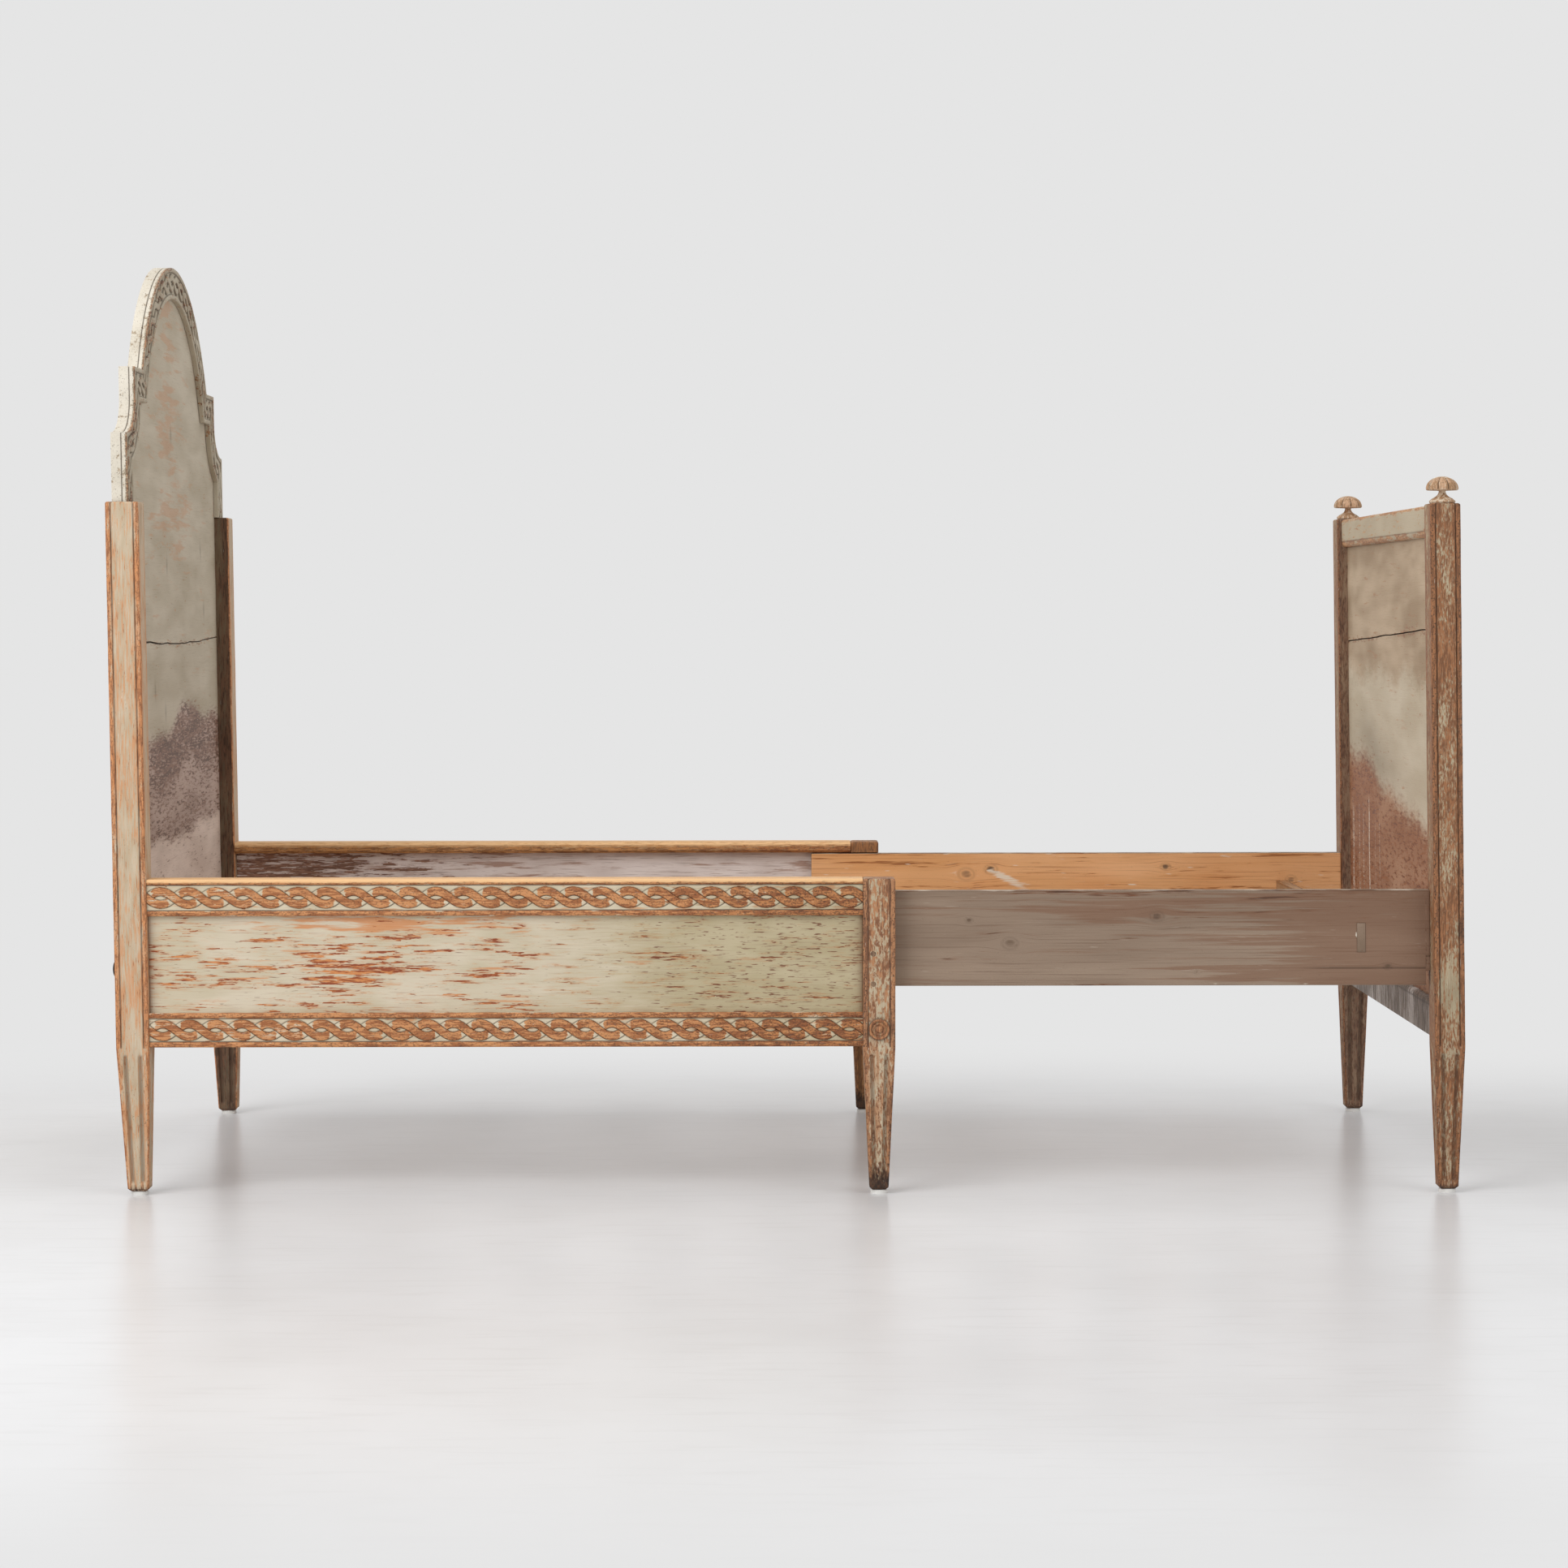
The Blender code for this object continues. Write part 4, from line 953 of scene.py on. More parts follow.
@dataclass(frozen=True)
class PressedFelt(Finish):
    """White pressed felt: a matt, fuzzy pad with short tangled fibres, drawn about twice as coarse."""

    name: str = "white pressed felt"
    tones: Tones = ("F2F1EE", "D5D2CC")
    fibre_mm: float = 1.0

    def shader(self, graph: Graph) -> Socket:
        """Tangles light and dark fibres.

        Args:
            graph: the material's tree.

        Returns:
            The finished surface.
        """
        tangle = {"Vector": graph.add("TexCoord", {}, out=3), "Scale": 1000.0 / self.fibre_mm, "Detail": 3.0,
                  "Distortion": 1.5}
        fibre = graph.add("TexNoise", tangle)
        tones = {0: fibre, 6: linear(self.tones[0]), 7: linear(self.tones[1])}
        colour = graph.add("Mix", tones, out=2, data_type="RGBA")
        normal = graph.add("Bump", {"Strength": 0.7, "Distance": 0.0003, "Height": fibre})
        return graph.add("BsdfPrincipled", {"Base Color": colour, "Roughness": 0.95, "Normal": normal,
                                            "Sheen Weight": 0.3})


@dataclass(frozen=True)
class PolishedFloor(Finish):
    """Polished pale boards: soft reflections, faint clouds, hairlines, and the backdrop's tone far out."""

    name: str = "polished pale floor"
    tone: str = "E6E6E7"
    mark: str = "D8D7D7"
    backdrop: str = "E5E5E5"
    hairlines: Place = (7.0, 60.0, 1.0)
    clear: Pair = (1.1, 2.2)
    squeeze: Place = (0.55, 1.0, 0.0)
    ahead: Place = (0.0, 0.7, 0.0)

    def shader(self, graph: Graph) -> Socket:
        """Marks the boards, polishes them, and lets them run out into the backdrop round the bed.

        Args:
            graph: the material's tree.

        Returns:
            The finished surface.
        """
        place = graph.add("TexCoord", {}, out=3)
        cloud = graph.add("TexNoise", {"Vector": place, "Scale": 2.2, "Detail": 5.0, "Roughness": 0.6})
        drawn = graph.add("VectorMath", {0: place, 1: self.hairlines}, operation="MULTIPLY")
        hair = graph.add("TexNoise", {"Vector": drawn, "Scale": 1.0, "Detail": 4.0, "Distortion": 0.4})
        mark = linear(self.mark)
        layers = ((cloud, 0.35, 0.65, 0.5, mark), (hair, 0.54, 0.70, 0.4, mark))
        colour = self.layered(graph, linear(self.tone), layers)
        polished = graph.add("BsdfPrincipled", {"Base Color": colour, "Roughness": 0.28,
                                                "Specular IOR Level": 0.5})
        ahead = graph.add("VectorMath", {0: place, 1: self.squeeze, 2: self.ahead}, operation="MULTIPLY_ADD")
        far = graph.add("VectorMath", {0: ahead}, out=1, operation="LENGTH")
        edge = {0: far, 1: self.clear[0], 2: self.clear[1]}
        share = graph.add("MapRange", edge, interpolation_type="SMOOTHSTEP")
        glow = graph.add("Emission", {"Color": linear(self.backdrop)})
        return graph.add("MixShader", {0: share, 1: polished, 2: glow})


# What all sub-assemblies do

@dataclass
class SubAssembly:
    """A group of pieces on one body, drawn upright and leaned when they are seated."""

    plan: Plan
    half: Half

    def seat(self, name: str, skin: Skin, finish: Finish, slot: Slot, node: str) -> None:
        """Leans a piece, dresses it and sets it on its body in place of a solid.

        Args:
            name: the piece's name.
            skin: its upright surface.
            finish: its finish.
            slot: the record's material slot; not used.
            node: the solid that it stands for.
        """
        leaning = Skin(self.plan.rake(skin.points, self.half), skin.paint)
        obj = leaning.to_object(name, SHARP_ANGLE)
        obj.data.materials.append(finish.material())
        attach(obj, self.half.value)
        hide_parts(node)
        faces = len(obj.data.polygons)
        LOG.info("%s: %d faces, rides on %s, stands for %s", name, faces, self.half.value, node)

    def seat_pair(self, name: str, skin: Skin, finish: Finish, slot: Slot, node: str) -> None:
        """Seats a piece on the right-hand side and its mirror image on the left-hand side.

        Args:
            name: the piece's name, with {} for the side.
            skin: its upright surface on the right-hand side.
            finish: its finish.
            slot: the record's material slot.
            node: the solid's name, with {} for the side.
        """
        for side in Side:
            own = skin if side is Side.RIGHT else skin.mirrored()
            self.seat(name.format(side.label), own, finish, slot, node.format(side.label))


# Posts

@dataclass
class Post(SubAssembly):
    """A square post with two quirks down its outer face, whose lower end tapers into a fluted leg."""

    kind: str
    back: float
    width: float
    top: float
    toe: float
    toe_shift: float
    finish: PaintedTimber
    seed: float
    rub: float
    notch: Pair | None = None
    recess_z: float | None = None
    rosette_z: float | None = None
    kept_z: float | None = None
    kept_reach: float = 0.042
    toe_grime_and_shade: float = 0.6
    toe_reach: float = 0.022
    arris: float = 0.0020
    top_arris: float = 0.0030
    toe_chamfer: float = 0.004
    shaft_step: float = 0.008
    quirk_inset: float = 0.0077
    quirk_half: float = 0.0012
    quirk_depth: float = 0.0016
    flute_radius: float = 0.0036
    flute_depth: float = 0.0028
    flute_spread: float = 0.23
    flute_low: float = 0.022
    flute_top_gap: float = 0.013
    recess_radius: float = 0.0116
    recess_blur: float = 0.0004
    recess_inset: float = 0.0428
    notch_depth: float = 0.0321
    rosette_radius: float = 0.0155
    rosette_rim: float = 0.0016
    rosette_shade: float = 1.35
    wear_reach: float = 0.004
    rub_reach: float = 0.009
    chip_reach: float = 0.0012
    smudge: Mark = Mark(0.0, 0.012, 0.012, 0.013)

    def heights(self) -> tuple[Array, Array]:
        """Places the rings: a chamfered toe, a leg, a shaft, close rings at every cut, an eased top.

        Returns:
            The rings' heights, and how far each is drawn in.
        """
        plan = self.plan
        shaft_rings = round((self.top - plan.side_bottom) / self.shaft_step)
        runs = [np.linspace(plan.toe_z + self.toe_chamfer, plan.knee_z, 54),
                np.linspace(plan.side_bottom, self.top - self.top_arris, shaft_rings)]
        if self.notch:
            runs.append(close_pairs(self.notch))
        if self.recess_z:
            runs.append(self.recess_z + self.recess_radius * np.linspace(-1.2, 1.2, 41))
        if self.rosette_z:
            runs.append(self.rosette_z + self.rosette_radius * np.linspace(-1.2, 1.2, 37))
        body = np.unique(np.concatenate(runs))
        ease = np.linspace(0.0, math.pi / 2, 5)[1:]
        z = np.concatenate([[plan.toe_z], body, self.top - self.top_arris * (1.0 - np.sin(ease))])
        drawn = [[self.toe_chamfer], np.zeros(len(body)), self.top_arris * (1.0 - np.cos(ease))]
        return z, np.concatenate(drawn)

    def ring(self) -> RoundedRing:
        """Lays points across the faces, with extra ones at the quirks.

        Returns:
            The ring.
        """
        even = np.linspace(-1.0, 1.0, 39)
        quirk = self.width / 2 - self.quirk_inset + self.quirk_half * np.array([-1.0, 0.0, 1.0])
        quirk = quirk / (self.width / 2 - self.arris)
        return RoundedRing.of(np.unique(np.concatenate([even, quirk, -quirk])), even)

    def flutes(self, across: Array, limit: Array, z: Array) -> Array:
        """Sinks two round-ended flutes into each face of the leg: the depth of a circle below the face.

        Args:
            across: each point's place across its face.
            limit: half the width of that face.
            z: the rings' heights.

        Returns:
            The depth at each point.
        """
        gap = np.abs(np.abs(across) - 2.0 * self.flute_spread * limit)
        high = self.plan.knee_z - self.flute_top_gap
        beyond = np.maximum(0.0, np.maximum(self.flute_low - z, z - high))
        reach = np.sqrt(np.maximum(self.flute_radius ** 2 - gap ** 2 - beyond ** 2, 0.0))
        return np.maximum(0.0, reach - (self.flute_radius - self.flute_depth))

    def skin(self) -> Skin:
        """Carries the rounded square up the post and sinks quirks, flutes, recess and notch into it.

        Returns:
            The upright post on the right-hand side.
        """
        plan, ring = self.plan, self.ring()
        z, drawn = (column[:, None] for column in self.heights())
        share = np.clip((z - plan.toe_z) / (plan.knee_z - plan.toe_z), 0.0, 1.0)
        full = np.array([self.width, plan.post_depth])
        half = (self.toe + (full - self.toe) * share) / 2 - drawn
        flat = ring.at(half, self.arris * (1.25 + 0.45 * waver(z[:, 0], 0.17, self.seed)))
        on_x = np.abs(ring.bulge[:, 0]) > FLAT
        on_face = on_x | (np.abs(ring.bulge[:, 1]) > FLAT)
        outer = ring.facing(1, -1)
        across = np.where(on_x, flat[..., 1], flat[..., 0])
        limit = np.where(on_x, half[:, 1:], half[:, :1])
        flute = self.flutes(across, limit, z) * on_face
        beside = np.abs(np.abs(across) - (limit - self.quirk_inset)) / self.quirk_half
        shaft = smooth_step(plan.knee_z, plan.side_bottom, z)
        sink = flute + self.quirk_depth * np.clip(1.0 - beside, 0.0, 1.0) * outer * shaft
        edge = np.where(on_face, limit - np.abs(across), 0.0)
        wear = np.exp(-edge / self.wear_reach) + 0.45 * outer * shaft * (edge < self.quirk_inset)
        # Painted shade: dark in the quirks down the outer face and deeper in the flutes
        line = 0.95 * np.clip(1.0 - beside / 1.4, 0.0, 1.0) * outer * shaft + 0.55 * flute / self.flute_depth
        if self.recess_z:
            away = np.hypot(flat[..., 1] + plan.post_depth / 2 - self.recess_inset, z - self.recess_z)
            rim = (self.recess_radius - self.recess_blur, self.recess_radius + self.recess_blur)
            hole = (1.0 - smooth_step(*rim, away)) * ring.facing(0, 1)
            sink = sink + plan.bolt_recess * hole
            smudge = self.smudge.at(flat[..., 0] - half[:, :1], z - self.recess_z)
            # Painted shade inside the bolt recess, and a dark smudge above it
            line = line + 0.7 * hole + 0.75 * outer * smudge
        if self.kept_z:
            wear = wear - 0.9 * outer * bump(z, self.kept_z, self.kept_reach)
        if self.rosette_z:
            away = np.hypot(flat[..., 0], z - self.rosette_z)
            # Painted shadow round the rosette: a dark ring at its rim and a soft dark halo
            shade = np.exp(-(away / self.rosette_radius / self.rosette_shade) ** 4)
            line = line + outer * (0.45 * bump(away, self.rosette_radius, self.rosette_rim) + 0.35 * shade)
        flat = flat - ring.bulge * sink[..., None]
        if self.notch:
            within = (z > self.notch[0]) & (z < self.notch[1])
            squeeze = np.where(within, self.notch_depth / plan.post_depth, 1.0)
            flat[..., 1] = (flat[..., 1] + plan.post_depth / 2) * squeeze - plan.post_depth / 2
        x = self.back + self.width / 2 + self.toe_shift * (1.0 - share) + flat[..., 0]
        y = plan.post_depth / 2 - plan.half + flat[..., 1]
        rub = 0.45 + 0.30 * waver(z, 0.42, self.seed + 1.0) + 0.75 * np.exp(-edge / self.rub_reach)
        # Pale lines that come and go along the arrises: partly chipped paint, partly painted highlight
        pale = np.exp(-edge / self.chip_reach) * dents(z, 0.045, self.seed + 2.0) * on_face
        # The inner face takes the darker inside coat: partly its own paint, partly painted shade inside the
        # bed
        return Skin(surface(x, y, z), {
            "wear": wear, "line": np.clip(line, 0.0, 1.0), "face": ring.facing(1, 1), "rub": self.rub * rub,
            "stain": self.toe_grime_and_shade * np.exp(-(z - plan.toe_z) / self.toe_reach), "pale": 0.8 * pale})

    def build(self) -> None:
        """Seats the post on both sides of the bed."""
        name, node = f"{self.kind}_post_painted_{{}}", f"{self.kind}_post_{{}}"
        self.seat_pair(name, self.skin(), self.finish, Slot.PAINT, node)


# Carved sides

@dataclass
class CarvedSide(SubAssembly):
    """One long side of the head section: two carved rails over a flaking panel, a rosette and two pegs."""

    rail_finish: PaintedTimber
    panel_finish: PaintedTimber
    rosette_finish: PaintedTimber
    peg_finish: PaintedTimber
    top_rail_height: float = 0.053
    rail_set: float = 0.003
    rail_thickness: float = 0.008
    bead: float = 0.0075
    bead_round: float = 0.5
    sink: float = 0.0025
    cap_overhang: float = 0.003
    cap_nose: float = 0.004
    cap_shine: float = 0.007
    top_highlight_reach: float = 0.0055
    grime_and_shade_reach: float = 0.0028
    dent: float = 0.0007
    column: float = 0.00112
    back_step: float = 0.006
    field_points: int = 46
    top_pitch: float = 0.040
    bottom_pitch: float = 0.038
    panel_wander: float = 0.0003
    nut_sink: float = 0.0034
    flaked: Mark = Mark(0.26, 0.50, 0.27, 0.27)
    cluster: Mark = Mark(0.255, 0.50, 0.030, 0.12)
    washed: Mark = Mark(0.33, 0.80, 0.20, 0.07)
    end_shade: float = 0.0045
    rosette_radius: float = 0.015
    rosette_height: float = 0.0045
    rosette_set: float = 0.002
    rosette_shape: tuple[Pair, ...] = (
        (0.06, 1.0), (0.75, 1.0), (0.95, 0.95), (1.0, 0.90), (0.9, 0.81), (0.55, 0.74), (0.45, 0.70),
        (0.7, 0.60), (0.75, 0.55), (0.6, 0.46), (0.45, 0.40), (0.7, 0.33), (0.9, 0.24), (1.0, 0.02))
    peg_radius: float = 0.004
    peg_length: float = 0.029
    peg_proud: float = 0.0005
    peg_set: float = 0.015
    peg_spread: float = 0.022
    carving: Guilloche = Guilloche()

    def bead_rows(self, start: float) -> Array:
        """Bends a flattened half round out of the rail: depth falls with the sine of the angle.

        Args:
            start: the height of the bead's lower edge.

        Returns:
            Rows of depth, height and wear.
        """
        radius = self.bead / 2
        angle = np.linspace(0.0, math.pi, 11)
        depth = self.rail_set + radius * self.bead_round * (1.0 - np.sin(angle))
        return surface(depth, start + radius * (1.0 - np.cos(angle)), 0.60 + 0.45 * np.sin(angle))

    def rail(self, bottom: float, top: float, pitch: float, capped: bool, seed: float) -> Skin:
        """Carries the beaded section along the rail and raises the twist out of its sunk field.

        Args:
            bottom: the height of the rail's lower edge.
            top: the height of its upper edge.
            pitch: the wanted length from crossing to crossing.
            capped: whether the rail's upper edge is also the cap over the side.
            seed: a number that varies the dents.

        Returns:
            The rail on the right-hand side.
        """
        plan = self.plan
        back = self.rail_set + self.rail_thickness
        slope = self.bead + self.sink / 2
        heights = np.linspace(bottom + slope, top - slope, self.field_points)
        tail = [(back, top, 0.0), (back, bottom, 0.0)]
        if capped:
            inner, nose, under = plan.board_back_depth + self.cap_overhang, self.cap_nose, plan.cap_bottom
            tail = [(inner - nose, top, 0.7), (inner, top - nose, 0.9), (inner, under + nose, 0.6),
                    (inner - nose, under, 0.3), (back, under, 0.0), (back, bottom, 0.0)]
        upper = self.bead_rows(top - self.bead)
        rest = dense(np.concatenate([upper[-1:], tail]), self.back_step)[1:]
        ground = surface(self.rail_set + self.sink, heights, 0.0)
        rows = np.concatenate([self.bead_rows(bottom), ground, upper, rest])
        sunk = slice(len(upper), len(upper) + len(heights))
        front = slice(0, sunk.stop + len(upper))
        low, high = plan.head_front + plan.clear, plan.mid_back - plan.clear
        x = np.linspace(low, high, round((high - low) / self.column))[:, None]
        share = (x - low) / (high - low)
        turns = round((high - low) / pitch)
        carved = self.carving.carve(share * turns, heights - (bottom + top) / 2, pitch)
        depth, wear = (np.tile(rows[:, k], (len(x), 1)) for k in (0, 2))
        depth[:, sunk] -= carved["height"]
        depth[:, front] += self.dent * dents(x, 0.11, seed) * rows[front, 2]
        wear[:, sunk] = (1.0 + 0.40 * smooth_step(0.0, 0.45, share)) * carved["ribbon"] - 0.45
        line, rub = np.zeros_like(wear), np.zeros_like(wear)
        line[:, sunk] = carved["line"]
        # Painted shade in the creases where the beads meet the sunk field
        line[:, [sunk.start - 1, sunk.start, sunk.stop - 1, sunk.stop]] = 0.8
        rub[:, sunk] = 0.15 + 0.35 * carved["ribbon"]
        if not capped:
            grimy = np.clip(2.2 * waver(x, 0.07, seed + 4.0) - 0.5, 0.0, 1.0)
            line += 0.65 * grimy * bump(rows[:, 1], bottom, self.grime_and_shade_reach)
        # Painted highlight along the cap's top, brightest near its front arris; the inner nose is lighter too
        arris = bump(rows[:, 0], self.rail_set, self.cap_shine)
        crown = (0.58 + 0.37 * arris) * bump(rows[:, 1], top, self.top_highlight_reach)
        pale = capped * (crown + 0.30 * (rows[:, 0] > plan.board_back_depth))
        return Skin(surface(x, depth - plan.half, rows[:, 1]), {
            "wear": wear, "line": line, "stain": 0.62 * smooth_step(0.35, 1.0, share),
            "face": rows[:, 0] > back + HAIR, "rub": rub, "pale": pale})

    def panel(self) -> Skin:
        """Planes the panel by hand, a slow wander of half a millimetre, and lets the nut's pocket in.

        Returns:
            The panel on the right-hand side.
        """
        plan = self.plan
        nut = plan.nut_edges(plan.head_front + plan.nut_back, plan.side_middle)
        low = (plan.head_front + plan.clear, plan.panel_front_depth - plan.half, plan.side_bottom)
        high = (plan.mid_back - plan.clear, plan.panel_back_depth - plan.half, plan.cap_bottom - plan.clear)
        bar = Bar(low, high, Grain.LENGTHWISE, arris=0.0010, step=0.004, along_marks=nut[0],
                  across_marks=nut[1])
        skin = bar.skin()
        x, z = skin.points[..., 0], skin.points[..., 2]
        outer, inner = bar.ring.facing(0, -1), bar.ring.facing(0, 1)
        skin.points[..., 1] += self.panel_wander * outer * (1.0 + waver(x * 0.7 + z, 0.21, 3.1))
        skin.points[..., 1] -= self.nut_sink * within_edges(x, z, nut) * inner
        share = (x - plan.head_front) / plan.side_length
        rise = (z - plan.side_bottom) / (plan.cap_bottom - plan.side_bottom)
        flaked = self.flaked.at(share, rise)
        dashes = smooth_step(0.55, 0.75, share) * smooth_step(0.10, 0.35, rise)
        worn = 0.52 * flaked + 0.38 * self.cluster.at(share, rise) + 0.17 * dashes - 0.28
        rubbed = 0.03 + 0.65 * self.washed.at(share, rise) + 0.14 * flaked
        skin.paint = {
            # Inner face: more bare brown timber towards the head end, partly worn paint and partly painted
            # shade from the headboard
            "wear": np.where(outer, worn, 1.1 * smooth_step(0.55, 0.05, share) - 0.3),
            "rub": np.where(outer, rubbed, 0.25),
            "face": inner,
            # Outer face: darker khaki towards the foot end, partly its own tone and partly painted shade of
            # the light falling off
            "stain": 1.15 * smooth_step(0.42, 0.95, share) * outer,
            "line": 0.75 * outer * np.exp(-np.minimum(share, 1.0 - share) / self.end_shade)}
        return skin

    def rosette(self) -> Skin:
        """Turns the rosette's rings and button: a rim, two hollows with a ridge between them, and a boss.

        Returns:
            The rosette on the right-hand side.
        """
        plan = self.plan
        rows = dense(np.array(self.rosette_shape) * (self.rosette_height, self.rosette_radius), 0.0004)
        centre = (plan.mid_centre, self.rosette_set - plan.half, plan.rosette_z)
        hollow = np.clip(1.0 - rows[:, :1] / self.rosette_height, 0.0, 1.0)
        turning = turned(rows, centre, (0.0, -1.0, 0.0), 48)
        # Painted shade in the hollows, darkest at the rosette's foot
        return Skin(turning.points, {"line": 0.7 * hollow, "wear": 0.5 - hollow})

    def peg(self, z: float) -> Skin:
        """Turns a peg whose domed end stands half a millimetre proud.

        Args:
            z: the height of its axis.

        Returns:
            The peg on the right-hand side.
        """
        angle = np.linspace(0.0, math.pi / 2, 6)[:-1]
        dome = zip(self.peg_length + self.peg_proud * np.sin(angle), self.peg_radius * np.cos(angle))
        centre = (self.plan.mid_back + self.peg_set, self.peg_length - self.plan.half, z)
        return turned(np.array([(0.0, self.peg_radius), *dome]), centre, (0.0, -1.0, 0.0), 24)

    def build(self) -> None:
        """Seats rails, panel, rosette and pegs on both sides of the bed."""
        plan = self.plan
        top_rail = self.rail(plan.side_top - self.top_rail_height, plan.side_top, self.top_pitch, True, 1.3)
        bottom_top = plan.side_bottom + plan.bottom_rail_height
        bottom_rail = self.rail(plan.side_bottom, bottom_top, self.bottom_pitch, False, 2.7)
        for label, rail in (("top", top_rail), ("bottom", bottom_rail)):
            node = f"side_{label}_rail_{{}}"
            self.seat_pair(f"carved_{label}_rail_{{}}", rail, self.rail_finish, Slot.PAINT, node)
        self.seat_pair("flaked_side_panel_{}", self.panel(), self.panel_finish, Slot.PAINT, "side_panel_{}")
        self.seat_pair("turned_rosette_{}", self.rosette(), self.rosette_finish, Slot.PAINT, "rosette_{}")
        for label, rise in (("lower", -self.peg_spread), ("upper", self.peg_spread)):
            peg = self.peg(plan.side_middle + rise)
            node = f"tenon_peg_{{}}_{label}"
            self.seat_pair(f"worn_peg_{{}}_{label}", peg, self.peg_finish, Slot.PINE, node)


# Ends

@dataclass
class BoardEdges:
    """The edges of a board in an end panel: stations across the bed, and the edges' heights there.

    ridges is how far the lower and the upper edge rise at mid thickness, to keep light out of a crack.
    """

    y: Array
    bottom: Array
    top: Array
    ridges: Pair


@dataclass(kw_only=True)
class PanelledEnd(SubAssembly):
    """What the headboard and the footboard share: boards with a crack between them, and moulded rails."""

    panel_step: float = 0.008
    panel_edge: float = 0.0012
    panel_wander: float = 0.0003
    panel_wear: float = 0.003
    ovolo_height: float = 0.009
    ovolo_depth: float = 0.007
    quirk: float = 0.0006
    seam: float = 0.0012
    eased: float = 0.001
    rail_arris: float = 0.003
    rail_step: float = 0.003
    rail_dent: float = 0.0006

    def panel_board(self, middle: float, edges: BoardEdges) -> tuple[Skin, Array, Array]:
        """Fills a thin board between two edges that vary across the bed, each with a ridge through it.

        Args:
            middle: x of the board's middle plane.
            edges: the board's edges.

        Returns:
            The upright board, worn at its edges, and which of its ring's points face the foot and the head.
        """
        thick, y, bottom, top = self.plan.panel_thickness / 2, edges.y, edges.bottom, edges.top
        count = round(float((top - bottom).max()) / self.panel_step)
        ring = RoundedRing.of(np.linspace(-1.0, 1.0, 5), np.linspace(-1.0, 1.0, count), 2)
        half = np.stack([np.full_like(y, thick), (top - bottom) / 2], axis=1)
        flat = ring.at(half, self.panel_edge)
        share = (flat[..., 1] / half[:, 1:] + 1.0) / 2
        ridge = edges.ridges[0] * (1.0 - share) + edges.ridges[1] * share
        ridge = ridge * (1.0 - np.abs(flat[..., 0]) / thick)
        z = ((top + bottom) / 2)[:, None] + flat[..., 1] + ridge
        front, back = ring.facing(0, 1), ring.facing(0, -1)
        hollow = self.panel_wander * (1.0 + waver(z + 0.3 * y[:, None], 0.16, 5.3))
        x = middle + flat[..., 0] + hollow * (1.0 * back - 1.0 * front)
        wear = 0.6 * np.exp(-ring.edge_distance(half) / self.panel_wear)
        # Painted shade on the upper and lower edge faces, inside the crack and the grooves
        hidden = 0.9 * (np.abs(ring.bulge[:, 1]) > FLAT)
        return Skin(surface(x, y[:, None], z), {"wear": wear, "line": hidden}), front, back

    def cross_rail(self, middle: float, half: float, bottom: float, top: float, moulded_top: bool) -> Skin:
        """Carries a rail's outline from post to post, with a quarter-round ovolo where it meets the panel.

        Args:
            middle: x of the rail's middle plane.
            half: half its thickness.
            bottom: its lower edge.
            top: its upper edge.
            moulded_top: whether the ovolo runs along the upper edge; otherwise along the lower.

        Returns:
            The upright rail, worn along its mouldings and arrises.
        """
        angle = np.linspace(0.0, math.pi / 2, 9)
        depth, rise = half - self.ovolo_depth * (1.0 - np.cos(angle)), self.ovolo_height * np.sin(angle)
        if moulded_top:
            seam = top - self.ovolo_height
            plain = [(half - self.eased, bottom, 0.5), (half, bottom + self.eased, 0.4),
                     (half, seam - self.quirk, 0.6)]
            right = np.concatenate([plain, surface(depth, seam + rise, 0.85)])
        else:
            seam, arris = bottom + self.ovolo_height, self.rail_arris
            plain = [(half, seam + self.quirk, 0.6), (half, seam + 2.0 * self.eased, 0.0),
                     (half, top - 2.0 * arris, 0.0), (half, top - arris, 0.9),
                     (half - arris / 3, top - arris / 3, 1.0), (half - arris, top, 0.9)]
            right = np.concatenate([surface(depth, seam - rise, 0.85)[::-1], plain])
        left = right[::-1] * np.array([-1.0, 1.0, 1.0])
        rows = dense(np.concatenate([right, left]), self.rail_step, closed=True)
        y = np.linspace(-self.plan.between_posts, self.plan.between_posts, 170)[:, None]
        dent = self.rail_dent * dents(y, 0.13, half * 1000) * rows[:, 2]
        x = middle + rows[:, 0] - np.sign(rows[:, 0]) * dent
        # Painted shade in the quirk where the ovolo meets the flat
        paint = {"wear": 0.95 * rows[:, 2], "line": 0.6 * bump(rows[:, 1], seam, self.seam)}
        return Skin(surface(x, y, rows[:, 1]), paint)


